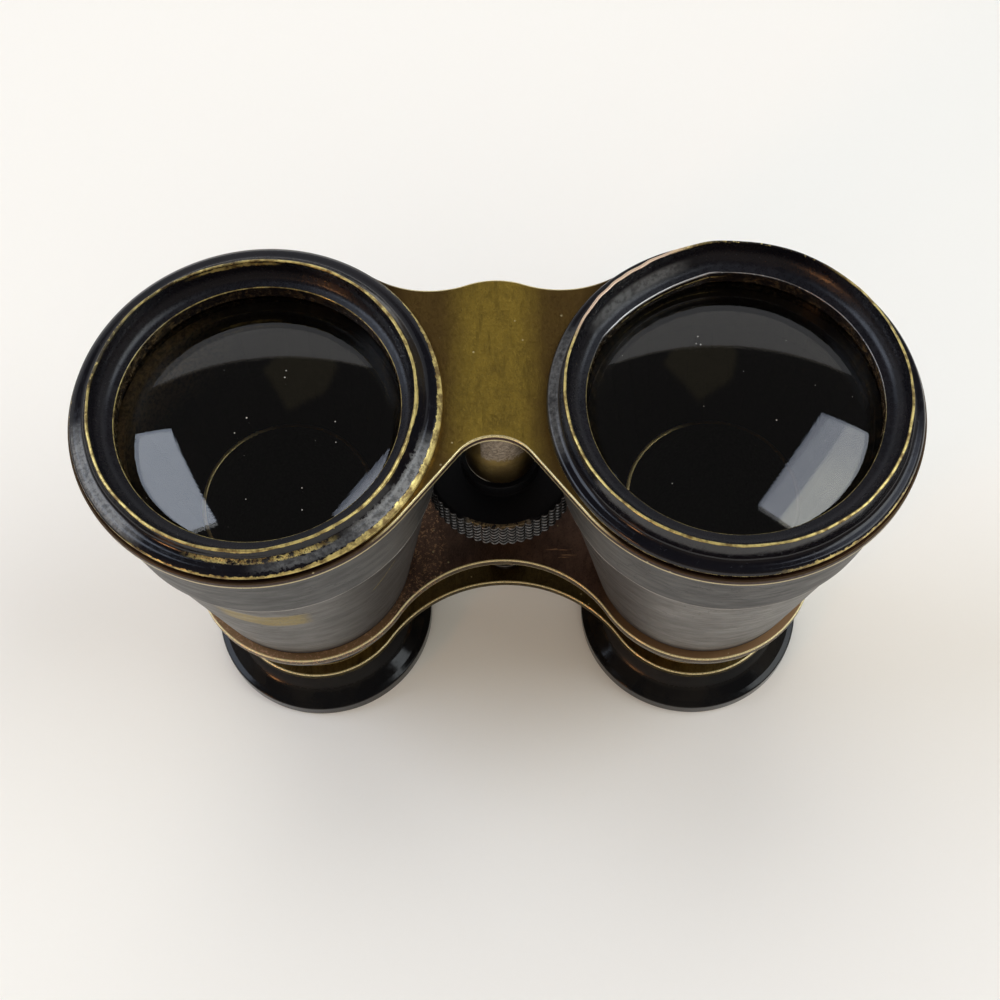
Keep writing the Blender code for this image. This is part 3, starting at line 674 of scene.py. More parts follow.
def glass(name, seed, specks=()):
    """Old polished glass with fine dust, and larger specks of (x, y, size)."""
    f = Finish(name, seed)
    mask = f.ramp(f.cells(2.2), 0.030, 0.016, 0.0, 0.35)
    for x, y, size in specks:
        mask = f.top(mask, f.ramp(f.away(x, y), size, size * 0.5, 0.0, 0.7))
    film = f.ramp(f.noise(6.0, 4.0, 0.6), 0.45, 0.75, 0.0, 0.004)
    color = f.mix(mask, GLASS_TINT, (0.75, 0.73, 0.68))
    return f.finish(color=color, transmission=f.sub(1.0, mask), rough=f.top(mask, film),
                    ior=GLASS_IOR)


def cemented(name):
    """The back of the doublet, which lets light through and hardly mirrors."""
    f = Finish(name)
    fine = f.noise(3.0, 3.0)
    color = f.mix(fine, (0.92, 0.90, 0.86), (0.95, 0.93, 0.90))
    return f.finish(color=color, transmission=1.0, rough=0.0, ior=GLASS_IOR, specular=0.0)


def inner_black(name, seed, centre=(0.0, 0.0), brown=None):
    """Matt black paint inside; about one angle, high up, dirty brass is painted where light falls
    in, a painted light that fades downwards.
    """
    f = Finish(name, seed, centre)
    fine = f.noise(0.6, 4.0, 0.7)
    color = f.mix(f.ramp(fine, 0.4, 0.7), (0.003, 0.003, 0.003), (0.008, 0.007, 0.006))
    if brown is not None:
        # Painted light: brass shown on the side where light falls in, fading downwards.
        bare_and_lit = f.mul(f.sector(brown, 42.0, 22.0), f.ramp(fine, 0.34, 0.60, 0.35, 1.0))
        bare_and_lit = f.mul(bare_and_lit, f.ramp(f.z, 52.0, 69.0))
        color = f.mix(bare_and_lit, color, (0.22, 0.145, 0.07))
    return f.finish(color=color, rough=0.7, specular=0.2, normal=f.bump(f.mul(fine, 0.02)))


def floor_finish(name):
    """Pale matt paper."""
    f = Finish(name)
    soft = f.noise(0.8, 4.0, 0.6)
    color = f.mix(soft, (0.925, 0.900, 0.845), (0.935, 0.910, 0.860))
    return f.finish(color=color, rough=0.9, specular=0.0)


# Pieces

def at(side):
    """The axis of one side's barrel."""
    return (SIDES[side] * BARREL_X, 0.0)


def ring_corners(bore, radius, levels, roundings):
    """The profile of a plain ring or tube between two levels."""
    low, high = levels
    places = (bore, low), (radius, low), (radius, high), (bore, high)
    return [(*place, rounding) for place, rounding in zip(places, roundings)]


def sag(curve, radius):
    """How far a lens face of that curve falls off at a radius."""
    return curve - sqrt(curve ** 2 - radius ** 2)


def bezel_corners(side):
    """The bezel's profile: skirt, neck, edge, roll, ridge, cove, lip and the lens's recess."""
    ridge_radius, ridge, lip_radius, lip, shelf, skirt = BEZELS[side]
    cove, drop = ridge_radius - lip_radius, ridge - lip
    return [
        (SKIRT_RADIUS, skirt, 0.10),
        (SKIRT_RADIUS, NECK_TOP, 0.05),
        (NECK_RADIUS, NECK_TOP, 0.05),
        (NECK_RADIUS, BEZEL_FOOT, 0.05),
        (25.00, BEZEL_FOOT, 0.10),
        (BEZEL_RADIUS, BEZEL_EDGE + 0.02, 0.30),
        (ridge_radius + 2.30, BEZEL_ROLL, 1.20),
        (ridge_radius + 0.85, BEZEL_ROLL + 0.22, 1.80),
        (ridge_radius + 0.30, ridge - 0.10, 0.16),
        (ridge_radius - 0.02, ridge, 0.12),
        (lip_radius + cove * 0.88, lip + drop * 0.46, 2.2),
        (lip_radius + cove * 0.46, lip + drop * 0.09, 1.6),
        (lip_radius, lip, 0.14),
        (lip_radius, shelf, 0.08),
        (LENS_RECESS, shelf, 0.05),
        (LENS_RECESS, skirt, 0.05),
    ]


def band(f, run, place, half, jag=0.0, soft=0.08):
    """One within a half width of a place along the run, with an edge made ragged by jag."""
    return f.ramp(f.add(f.size(f.sub(run, place)), jag), f.add(half, soft), half)


def strip(f, run, sector, place, half, jag=0.0, soft=0.08):
    """A band along the run within a sector of the piece."""
    return f.mul(f.sector(*sector), band(f, run, place, half, jag, soft))


# Places of the lines of wear in a bezel's list
RIDGE_LINE, LIP_LINE = 1, 2


def left_wear(edge, ridge, lip):
    """Brass worn bare on the left bezel below the ridge, along the edge and on the cove, and grey
    scuffed lacquer on the slope where it catches highlights: wear and painted highlight.
    """

    def marks(f, run, fine, broad):
        jag = f.sub(fine, 0.5)
        under = f.mul(f.sector(-84.0, 19.0, 8.0), f.ramp(fine, 0.42, 0.54))
        patch = f.mul(under, band(f, run, edge + 2.2, 0.34, f.mul(jag, 1.6)))
        wide = f.mul(f.sector(-18.0, 38.0, 26.0), 0.62)
        flange = strip(f, run, (-40.0, 82.0, 12.0), edge + 0.05, f.add(wide, 0.10), jag)
        chips = strip(f, run, (102.0, 13.0, 6.0), ridge + 0.75, 0.22, f.mul(jag, 1.6))
        kept = f.mul(f.sector(140.0, 42.0, 12.0), f.ramp(broad, 0.40, 0.60, 0.35, 0.9))
        thin = f.sub(1.0, kept)
        # grey, blotch and hazy are scuffed lacquer laid where the slope catches highlights: wear
        # and painted highlight.
        grey = strip(f, run, (211.0, 20.0, 7.0), edge + 1.15, 0.75, f.mul(jag, 0.6), 0.3)
        blotch = strip(f, run, (-34.0, 17.0, 8.0), edge + 1.6, 0.85, f.mul(jag, 2.6), 0.2)
        hazy = strip(f, run, (-68.0, 15.0, 8.0), edge + 1.3, 0.5, f.mul(jag, 3.0), 0.3)
        scuff = f.top(f.mul(grey, 0.8), f.mul(blotch, 0.9), f.mul(hazy, 0.35))
        scuff = f.mul(scuff, f.ramp(fine, 0.34, 0.62, 0.35, 1.0))
        lip_line = f.ramp(broad, 0.30, 0.60, 0.25, 0.60)
        lip_line = f.mul(band(f, run, lip, 0.05, 0.0, 0.07), lip_line)
        bare = f.top(patch, flange, chips, lip_line)
        return {"bare": bare, RIDGE_LINE: thin, LIP_LINE: 0.0, "scuff": scuff}

    return marks


def right_wear(edge, ridge, lip):
    """The right bezel keeps its lacquer at the back, and a knock left its edge silvery; grey
    scuffed lacquer on its slope and cove is wear and painted highlight.
    """

    def marks(f, run, fine, broad):
        jag = f.sub(fine, 0.5)
        chips = strip(f, run, (-52.0, 22.0, 8.0), edge, 0.28, f.mul(jag, 1.3))
        double = strip(f, run, (132.0, 22.0, 4.0), ridge - 0.62, 0.09, 0.0, 0.06)
        second = strip(f, run, (118.0, 24.0, 4.0), lip + 0.95, 0.08, f.mul(jag, 0.3), 0.06)
        lip_line = strip(f, run, (122.0, 26.0, 5.0), lip, 0.11, 0.0, 0.05)
        kept = f.mul(f.sector(74.0, 26.0, 9.0), f.ramp(fine, 0.36, 0.46, 0.6, 1.0))
        thin = f.sub(1.0, kept)
        second = f.mul(second, f.ramp(fine, 0.40, 0.50))
        rim = f.mul(band(f, run, lip, 0.04, 0.0, 0.06), f.ramp(broad, 0.30, 0.60, 0.10, 0.45))
        cove = (ridge + lip) / 2 + 0.3
        # cove_scuff_sheen and grey below are scuffed lacquer laid where the cove and slope catch
        # highlights: wear and painted highlight.
        cove_scuff_sheen = strip(f, run, (128.0, 19.0, 7.0), cove, 0.35, f.mul(jag, 0.5), 0.6)
        silver = f.mul(band(f, run, lip, 0.45, 0.0, 0.2), f.sector(80.0, 80.0, 10.0))
        copper = f.mul(band(f, run, ridge, 1.1, 0.0, 0.2), f.sector(132.0, 24.0, 8.0))
        grey = strip(f, run, (176.0, 20.0, 8.0), edge + 1.2, 0.6, f.mul(jag, 0.6), 0.3)
        scuff = f.top(f.mul(grey, 0.35), f.mul(cove_scuff_sheen, 0.5))
        scuff = f.mul(scuff, f.ramp(fine, 0.34, 0.60, 0.3, 1.0))
        bare = f.top(chips, double, second, lip_line, rim)
        return {"bare": bare, RIDGE_LINE: thin, LIP_LINE: 0.0, "silver": silver,
                "copper": copper, "kept": second, "scuff": scuff}

    return marks


def smooth(share):
    """Smooth step of a share that may lie outside 0 to 1."""
    share = max(0.0, min(1.0, share))
    return share * share * (3.0 - 2.0 * share)


def bezel(side):
    """A lacquered bezel, pressed in at the left and dented at the right."""
    sign = SIDES[side]
    corners = bezel_corners(side)
    _, marks = rounded(corners)
    edge, ridge, lip = marks[5], (marks[8] + marks[9]) / 2, marks[12]
    if side == "left":
        lines = [(edge - 0.20, 0.12, 0.8, 0.30)]
        lines += [(ridge, 0.30, 0.9, 0.45), (lip, 0.05, 0.1, 0.30)]
        wear = left_wear(edge, ridge, lip)
    else:
        lines = [(edge - 0.25, 0.07, 0.5, 0.10)]
        lines += [(ridge, 0.20, 0.6, 0.40), (lip, 0.05, 0.1, 0.20)]
        wear = right_wear(edge, ridge, lip)
    satin = (marks[9] + 0.3, lip - 0.1)
    material = lacquer(side + "_bezel_finish", 3.0 + sign, lines, satin, wear, lip + 0.1)

    def warp(angle, radius, height, run):
        around = Vector((cos(angle), sin(angle), 0.0))
        slow = noise.noise(around * 1.6 + Vector((sign * 3.0, 0.0, 0.0)))
        quick = noise.noise(around * 5.0 + Vector((0.0, sign * 4.0, 2.0)))
        rise = max(0.0, min(1.0, (height - BEZEL_EDGE) / 2.0))
        radius += rise * (0.10 * slow + 0.12 * quick)
        place = degrees(angle)
        if side == "left":
            turned = (place + 180.0) % 360.0 - 180.0
            before, after = turned - SQUEEZE_START, SQUEEZE_END - turned
            squeeze = smooth(min(before / SQUEEZE_FADE, after / SQUEEZE_FADE))
            if run < ridge:
                reach = (run - ridge + SQUEEZE_BELOW) / SQUEEZE_BELOW
            else:
                reach = (lip - run) / (lip - ridge)
            radius -= SQUEEZE * squeeze * smooth(reach)
        else:
            if RAGGED_START < place < RAGGED_END and abs(run - ridge) < 1.5:
                share = (place - RAGGED_START) / (RAGGED_END - RAGGED_START)
                radius += RAGGED_DEPTH * noise.noise(around * 9.0) * sin(pi * share)
            dent = max(0.0, 1.0 - ((place - DENT_ANGLE) / DENT_HALF) ** 2)
            if run > ridge - 1.0:
                inward = max(0.0, min(1.0, (23.4 - radius) / 2.0))
                radius -= DENT_IN * dent * inward
                height -= DENT_DOWN * dent * inward
        return radius, min(height, BEZELS[side][1])

    piece = lathe(side + "_bezel", corners, material, at(side), 360, warp=warp, step=0.8)
    dress(piece, "barrels", "black_lacquer", side + "_objective_bezel")


# Larger specks on the lenses: x, y and size
DUST = {
    "left": (
        (-1.2, -1.6, 0.13), (-2.7, -3.8, 0.10), (3.6, 5.8, 0.10), (3.5, 4.7, 0.12),
        (10.6, -1.8, 0.10), (10.8, -4.8, 0.08), (6.6, -11.4, 0.09), (-0.7, -13.0, 0.08),
        (6.7, -14.3, 0.10),
    ),
    "right": (
        (-4.5, 9.6, 0.09), (-4.2, 8.2, 0.10), (-4.8, 8.4, 0.08), (-8.8, -12.0, 0.08),
        (5.1, -3.6, 0.09),
    ),
}
LENS_RINGS, EYE_LENS_RINGS = 60, 14


def objective_glass(side):
    """Crown and flint as one lens, with a polished front and a cemented back."""
    _, _, lip_radius, _, shelf, _ = BEZELS[side]
    apex = shelf - 0.10 + sag(LENS_CURVE, lip_radius)
    inner = LENS_CURVE - GLASS_THICKNESS * 0.34
    radii = [LENS_RADIUS * i / LENS_RINGS for i in range(LENS_RINGS + 1)]
    corners = [(radius, apex - sag(LENS_CURVE, radius), 0.0) for radius in radii]
    corners += [(radius, apex - GLASS_THICKNESS - sag(inner, radius), 0.0)
                for radius in reversed(radii)]
    material = glass(side + "_glass_finish", 2.0 + SIDES[side], specks=DUST[side])
    piece = lathe(side + "_objective_glass", corners, material, at(side), 256, closed=False,
                  step=40.0)
    piece.data.materials.append(cemented(side + "_cement_finish"))
    for face in piece.data.polygons:
        if face.normal.z < -0.5:
            face.material_index = 1
    dress(piece, "barrels", "optical_glass", side + "_objective_crown", side + "_objective_flint")


def leather_cover(side):
    """The leather on the barrel, with a worn patch of gilding on the left one; it is painted in
    shade under the collar, on its side towards the other barrel and at its foot.
    """
    light, dark, waves = LEATHERS[side]

    def extra(f, color, pore):
        # Painted shadow: the leather is darkened just under the collar's lower edge.
        under = f.ramp(f.z, COLLAR_FOOT - 1.8, COLLAR_FOOT - 0.1, 0.0, 0.85)
        color = f.mix(under, color, (0.010, 0.008, 0.007))
        # Painted shade: darker on the side that faces the other barrel.
        inner = f.sector(0.0 if side == "left" else 180.0, 57.0, 17.0)
        color = f.mix(f.mul(inner, 0.88), color, (0.020, 0.013, 0.009))
        # Painted shade: darker towards the foot, by the rear bridge.
        foot = f.ramp(f.z, BARREL_FOOT + 3.2, BARREL_FOOT + 0.4, 0.0, 0.8)
        color = f.mix(foot, color, (0.014, 0.008, 0.006))
        dull = f.mul(f.top(inner, foot), 0.35)
        if side == "right":
            return color, 0.0, dull
        left = f.mul(f.top(f.sub(-1.0, f.x), 0.0), 0.5)
        off = f.size(f.sub(f.sub(f.z, 52.9), left))
        patch = f.ramp(f.add(off, f.mul(pore, 2.6)), 4.9, 4.1)
        patch = f.mul(f.sector(-93.0, 15.0, 3.5), patch)
        patch = f.mul(patch, f.ramp(pore, 0.38, 0.52, 0.30, 1.0))
        slant = f.mul(f.sub(f.y, -13.4), 2.4)
        scrape = f.ramp(f.size(f.sub(f.sub(f.z, 58.0), slant)), 0.30, 0.16)
        scrape = f.mul(f.mul(scrape, f.sector(-44.0, 5.0, 1.5)), f.ramp(pore, 0.40, 0.50))
        patch = f.top(patch, scrape)
        return f.mix(patch, color, GILDING), f.mul(patch, 0.3), dull

    material = leather(side + "_leather_finish", 4.0 + 3 * SIDES[side], light, dark, waves,
                       LEATHER_GLOSS, extra)
    levels = (BARREL_FOOT, BREAK_HEIGHT, BARREL_HEAD)
    corners = [(tube_radius(z) + LEATHER_GAP + LEATHER, z, 0.15) for z in levels]
    corners += [(tube_radius(z) + LEATHER_GAP, z, 0.05) for z in reversed(levels)]
    piece = lathe(side + "_leather", corners, material, at(side), 192, step=1.5)
    dress(piece, "barrels", "worn_leather", side + "_barrel_leather")


def collar(side):
    """The second leather at the wide end, with a worn and wavy lower edge, paler along it as worn
    leather and painted highlight, and painted shade at its top.
    """
    sign = SIDES[side]

    def extra(f, color, pore):
        # Paler along the lower edge: worn leather and a painted highlight along the edge.
        pale = f.ramp(f.add(f.z, f.mul(pore, 0.5)), COLLAR_FOOT + 0.95, COLLAR_FOOT + 0.65)
        color = f.mix(f.mul(pale, 0.8), color, RUBBED_LEATHER_SHEEN)
        # Painted shade: the collar's top is darkened under the bridge and bezel.
        under = f.ramp(f.z, BARREL_HEAD - 0.7, BARREL_HEAD - 0.2, 0.0, 0.8)
        return f.mix(under, color, (0.03, 0.014, 0.010)), 0.0, 0.0

    material = leather(side + "_collar_finish", 8.0 + 3 * sign, *COLLAR_TONES,
                       COLLAR_WAVES[side], COLLAR_GLOSS, extra)
    low = tube_radius(COLLAR_FOOT) + COLLAR_GAP
    high = tube_radius(BARREL_HEAD) + COLLAR_GAP
    corners = [(low, COLLAR_FOOT, 0.02), (low + COLLAR, COLLAR_FOOT, 0.16),
               (high + COLLAR, BARREL_HEAD, 0.12), (high, BARREL_HEAD, 0.05)]

    def warp(angle, radius, height, run):
        if height < COLLAR_FOOT + 0.8:
            around = Vector((cos(angle), sin(angle), 0.3 * sign))
            height += 0.15 + 0.30 * noise.noise(around * 3.0) + 0.12 * noise.noise(around * 12.0)
            height = max(height, COLLAR_FOOT)
        return radius, height

    piece = lathe(side + "_collar", corners, material, at(side), 192, warp=warp, step=1.2)
    dress(piece, "barrels", "collar_leather", side + "_barrel_collar")


def end_ring(side):
    corners = ring_corners(END_RING_BORE, END_RING_RADIUS, (END_RING_FOOT, END_RING_TOP),
                           (0.10, 0.30, 0.30, 0.10))
    _, marks = rounded(corners)
    worn = [(marks[2], 0.10, 0.4, 0.2)]
    material = lacquer(side + "_end_ring_finish", 11.0 + SIDES[side], worn)
    piece = lathe(side + "_end_ring", corners, material, at(side))
    dress(piece, "barrels", "black_lacquer", side + "_barrel_end_ring")


def draw_tube(side):
    corners = ring_corners(DRAW_TUBE_BORE, DRAW_TUBE_RADIUS, (DRAW_TUBE_FOOT, DRAW_TUBE_TOP),
                           (0.10, 0.10, 0.18, 0.15))
    # The rim's glint at 165 degrees is painted.
    material = brass(side + "_draw_tube_finish", 6.0 + SIDES[side], (0.56, 0.42, 0.19),
                     (0.32, 0.215, 0.09), bore=DRAW_TUBE_BORE, glint_at=(165.0, DRAW_TUBE_TOP))
    piece = lathe(side + "_draw_tube_shell", corners, material, at(side))
    dress(piece, "eyepieces", "bare_brass", side + "_draw_tube")


def eyecup(side):
    material = ebonite(side + "_eyecup_finish", 5.0 + SIDES[side])
    piece = lathe(side + "_eyecup_shell", EYECUP_PROFILE, material, at(side), step=0.8)
    dress(piece, "eyepieces", "ebonite", side + "_eyecup")


def eye_lens(side):
    depth = sag(EYE_LENS_CURVE, EYE_LENS_RADIUS)
    radii = [EYE_LENS_RADIUS * i / EYE_LENS_RINGS for i in range(EYE_LENS_RINGS + 1)]
    corners = [(radius, EYE_LENS_TOP - depth + sag(EYE_LENS_CURVE, radius), 0.0)
               for radius in radii]
    corners += [(radius, EYE_LENS_FOOT + depth - sag(EYE_LENS_CURVE, radius), 0.0)
                for radius in reversed(radii)]
    material = glass(side + "_eye_glass_finish", 7.0 + SIDES[side])
    piece = lathe(side + "_eye_glass", corners, material, at(side), 96, closed=False, step=40.0)
    dress(piece, "eyepieces", "optical_glass", side + "_eye_lens")


def bridges():
    """The three plates, each with a hole round both barrels or tubes."""

    def holed(outline, radius):
        return [bridge_outline(*outline)] + [hole(*at(side), radius) for side in SIDES]

    def near_bezels(f, cloud):
        """Browner towards the bezels: a painted shade where they shade the plate."""
        wide = f.add(f.mul(f.sub(cloud, 0.5), 5.0), f.size(f.x))
        return f.ramp(wide, 3.0, 7.8, 0.0, 0.85)

    def shaded_edge(f):
        """The edge is bright between the bezels alone; round the barrels the plate is painted
        darker instead, a painted shade under the bezels.
        """
        return f.ramp(f.size(f.x), 11.0, 17.0, 1.0, 0.05)

    def flecks(f, grit):
        """Copper grains by the left barrel, and a few scratches by the right one."""
        grains = f.mul(f.ramp(f.x, -8.5, -10.5), f.ramp(grit, 0.54, 0.60))
        lines = f.noise(0.35, 2.0, 0.5, shift=1.0, stretch=(9.0, 1.0, 1.0), distort=0.6)
        near = f.ramp(f.away(9.3, 0.2, 2.9, 1.1), 1.1, 0.7)
        return f.top(grains, f.mul(near, f.ramp(lines, 0.60, 0.66)))

    def at_rings(f, cloud):
        """Copper-coloured round the barrels."""
        wide = f.add(f.mul(f.sub(cloud, 0.5), 6.0), f.size(f.x))
        return f.ramp(wide, 15.0, 19.0)

    # The front bridge's wall tone is painted far darker than its top: painted shade.
    finish = patina("front_bridge_finish", 1.0, OLIVE, (0.34, 0.22, 0.044), FRONT_LEVELS,
                    (0.060, 0.024, 0.015), near_bezels, hushed=shaded_edge, worn_foot=0.56)
    loops = holed(FRONT_OUTLINE, NECK_RADIUS)
    piece = plate("front_bridge_plate", loops, FRONT_LEVELS, finish)
    dress(piece, "barrels", "patinated_brass", "front_bridge")

    # Its top tones are painted far darker than the front bridge's, a painted shade from the parts
    # above; the copper round the rings is its own.
    finish = patina("rear_bridge_finish", 2.0, (0.20, 0.12, 0.085), (0.10, 0.06, 0.045),
                    REAR_LEVELS, (0.10, 0.065, 0.03), at_rings, (0.36, 0.21, 0.10),
                    metallic=0.78, flecked=flecks, worn_foot=0.32)
    loops = holed(REAR_OUTLINE, END_RING_BORE) + [hole(0.0, AXIS_Y, REAR_SPINDLE_HOLE, 64)]
    piece = plate("rear_bridge_plate", loops, REAR_LEVELS, finish)
    dress(piece, "barrels", "patinated_brass", "rear_bridge")

    # Its tones are painted dark, a painted shade under the rear bridge.
    finish = patina("eyepiece_bridge_finish", 3.0, (0.17, 0.125, 0.045), (0.085, 0.06, 0.022),
                    EYE_LEVELS, (0.13, 0.095, 0.035))
    loops = holed(EYE_OUTLINE, EYE_RING_BORE) + [hole(0.0, AXIS_Y, EYE_SPINDLE_HOLE, 64)]
    piece = plate("eyepiece_bridge_plate", loops, EYE_LEVELS, finish)
    dress(piece, "eyepieces", "patinated_brass", "eyepiece_bridge")


def focus_wheel():
    """The wheel with rows of knurling round it, and its hub."""
    width = WHEEL_HEAD - WHEEL_FOOT
    corners = [
        (HUB_BORE, HUB_FOOT, 0.10), (HUB_RADIUS, HUB_FOOT, 0.30), (HUB_RADIUS, WHEEL_FOOT, 0.30),
        (WHEEL_RIM, WHEEL_FOOT, 0.20), (WHEEL_RADIUS, WHEEL_FOOT + 0.30, 0.10),
        (WHEEL_RADIUS, WHEEL_HEAD - 0.30, 0.10), (WHEEL_RIM, WHEEL_HEAD, 0.20),
        (HUB_RADIUS, WHEEL_HEAD, 0.35), (HUB_RADIUS, HUB_TOP, 0.25), (HUB_BORE, HUB_TOP, 0.10),
    ]

    def warp(angle, radius, height, run):
        share = (height - WHEEL_FOOT) / width
        if radius < 11.5 or not 0.0 < share < 1.0:
            return radius, height
        tooth = 1.0 - abs(sin(KNURL_COUNT * angle / 2)) ** 0.8
        row = abs(2.0 * (KNURL_ROWS * share % 1.0) - 1.0) ** 1.3
        return radius - KNURL_DEPTH * tooth - ROW_DEPTH * row, height

    f = Finish("wheel_finish", 21.0)
    fine = f.noise(0.6, 5.0, 0.7)
    # Thin metal lines on the upper slope of each row of knurling, where it catches the light:
    # wear and painted highlight.
    share = f.math("FRACT", f.mul(f.sub(f.z, WHEEL_FOOT), KNURL_ROWS / width))
    line = f.mul(f.ramp(share, 0.56, 0.62), f.ramp(share, 0.74, 0.68))
    worn = f.mul(f.mul(f.ramp(f.radius, 10.9, 11.1), line), f.ramp(fine, 0.35, 0.6, 0.4, 1.0))
    front = f.ramp(f.z, WHEEL_HEAD - 0.34, WHEEL_HEAD - 0.24)
    front = f.mul(f.sector(-92.0, 24.0, 5.0), front)
    front = f.mul(front, f.ramp(f.radius, 10.95, 11.05))
    metal = f.mix(front, (0.24, 0.235, 0.235), (0.36, 0.27, 0.15))
    worn = f.top(worn, f.mul(front, f.ramp(fine, 0.42, 0.52)))
    dull = f.ramp(f.radius, 10.6, 10.3, 0.0, 0.25)
    rough = f.add(f.ramp(fine, 0.3, 0.7, 0.26, 0.42), dull)
    material = f.finish(color=f.mix(worn, (0.005, 0.005, 0.006), metal), metallic=worn,
                        rough=rough, specular=0.18, normal=f.bump(f.mul(fine, 0.012)))
    piece = lathe("focus_wheel_disc", corners, material, GEAR, KNURL_COUNT * 8, warp=warp,
                  step=0.095)
    dress(piece, "focus_wheel", "black_lacquer", "focus_wheel")


def column_finish(name, seed):
    """Brass in the shade of the bridge, painted darker towards the wheel as shade, with a pale
    rough patch high on its front that is worn brass and painted highlight both, and a painted
    glint at its foot.
    """
    f = Finish(name, seed)
    cloud = f.noise(4.0, 4.0, 0.6)
    grit = f.noise(0.5, 5.0, 0.8, shift=3.0)
    color = f.mix(f.ramp(cloud, 0.35, 0.65), (0.20, 0.135, 0.045), (0.36, 0.25, 0.08))
    # Painted shade: darker towards the wheel.
    low = f.ramp(f.z, 54.0, 47.8, 0.0, 0.9)
    color = f.mix(low, color, (0.05, 0.033, 0.015))
    # A pale rough patch high on the front: worn brass and painted highlight, cut off on its left
    # where shade falls.
    patch = f.mul(f.ramp(f.x, -2.75, -2.5), f.sector(-90.0, 70.0, 8.0))
    patch = f.mul(patch, f.ramp(f.add(f.z, f.mul(grit, 5.0)), 56.6, 57.6))
    bare_and_lit = f.mix(f.ramp(grit, 0.4, 0.62), (0.22, 0.17, 0.12), (0.50, 0.42, 0.33))
    color = f.mix(patch, color, bare_and_lit)
    # Painted glint: a pale crescent at the column's foot.
    foot = f.mul(f.sector(-155.0, 40.0, 14.0), f.ramp(f.z, 47.20, 47.02))
    color = f.mix(foot, color, (0.85, 0.80, 0.70))
    rough = f.add(f.ramp(grit, 0.3, 0.7, 0.36, 0.52), f.mul(patch, 0.12))
    return f.finish(color=color, metallic=f.sub(1.0, f.mul(foot, 0.7)), rough=rough,
                    normal=f.bump(f.mul(grit, 0.03)))


def gear():
    """The columns and the spindle on the axis of the wheel, and two CAD nodes that stay."""
    finishes = {
        "lower_column": brass("lower_column_finish", 14.0, (0.30, 0.215, 0.09),
                              (0.15, 0.10, 0.05), 0.42),
        "upper_column": column_finish("upper_column_finish", 15.0),
    }
    for name, levels in COLUMNS.items():
        corners = ring_corners(COLUMN_BORE, COLUMN_RADIUS, levels, (0.10, 0.28, 0.15, 0.10))
        piece = lathe(name + "_tube", corners, finishes[name], GEAR, 128)
        dress(piece, "barrels", "bare_brass", name)
    material = steel("spindle_finish", 16.0)
    piece = lathe("focus_spindle_rod", SPINDLE_PROFILE, material, GEAR, 96, closed=False)
    dress(piece, "eyepieces", "dark_steel", "focus_spindle")
    material = brass("foot_nut_finish", 17.0)
    piece = lathe("spindle_foot_collar", FOOT_NUT_PROFILE, material, GEAR, 96)
    dress(piece, "eyepieces", "bare_brass", "spindle_foot_nut")
    repaint("focus_nut", brass("focus_nut_finish", 18.0))
    repaint("spindle_stop_ring", steel("stop_ring_finish", 19.0))


def kept_nodes():
    """The CAD nodes inside the barrels stay, in finishes of their own."""
    for side in SIDES:
        # Painted light: on the left barrel, brass is shown inside where light falls in, about 168
        # degrees.
        brown = 168.0 if side == "left" else None
        tube = inner_black(side + "_tube_finish", 31.0, at(side), brown)
        repaint(side + "_barrel_tube", tube)
        repaint(side + "_draw_tube_guide", brass(side + "_guide_finish", 32.0))
        lock = inner_black(side + "_lock_ring_finish", 33.0, at(side), brown)
        repaint(side + "_objective_lock_ring", lock)
        repaint(side + "_eye_lens_cell", inner_black(side + "_eye_cell_finish", 34.0))


# Floor, light and camera

FLOOR_RADIUS, FLOOR_CORNERS = 2.5, 64


def build_floor():
    mesh = bpy.data.meshes.new("floor")
    angles = [tau * i / FLOOR_CORNERS for i in range(FLOOR_CORNERS)]
    ring = [(FLOOR_RADIUS * cos(a), FLOOR_RADIUS * sin(a), 0.0) for a in angles]
    mesh.from_pydata(ring, [], [tuple(range(FLOOR_CORNERS))])
    mesh.materials.append(floor_finish("floor_finish"))
    floor = bpy.data.objects.new("floor", mesh)
    bpy.context.scene.collection.objects.link(floor)


REAR_WALL = (0.47, 0.48, 0.50)
FRONT_WALL = (0.22, 0.19, 0.16)
OVERHEAD = (0.055, 0.054, 0.056)
LEFT_PANE = (2.35, 2.65, 3.2)
RIGHT_PANES = ((1.35, 1.50, 1.85), (1.80, 1.98, 2.38), (2.5, 2.7, 3.0), (3.1, 3.3, 3.4))
GHOST = (0.12, 0.110, 0.085)
LAMP = (21.0, 9.0, 3.2)
LAMP_DIRECTION = (-0.717, -0.634, 0.29)
LAMP_EDGE = (0.9962, 0.9980)

# Corners on the plane one unit overhead
LEFT_WINDOW = ((-0.36, -0.087), (-0.71, 0.513), (-1.90, 0.793), (-1.90, -0.447))
RIGHT_WINDOW = ((0.21, -0.057), (1.35, -0.727), (1.35, 0.473), (0.62, 0.523))
GHOST_PANE = ((-0.04, 0.52), (0.14, 0.68), (0.20, 0.95), (0.02, 1.40), (-0.22, 0.87))
WINDOW_SOFT, GHOST_SOFT = 0.004, 0.02
BAR_SLANT, FIRST_BAR, SECOND_BAR = 0.77, (0.272, 0.280), (0.408, 0.416)
LOWEST = 0.03


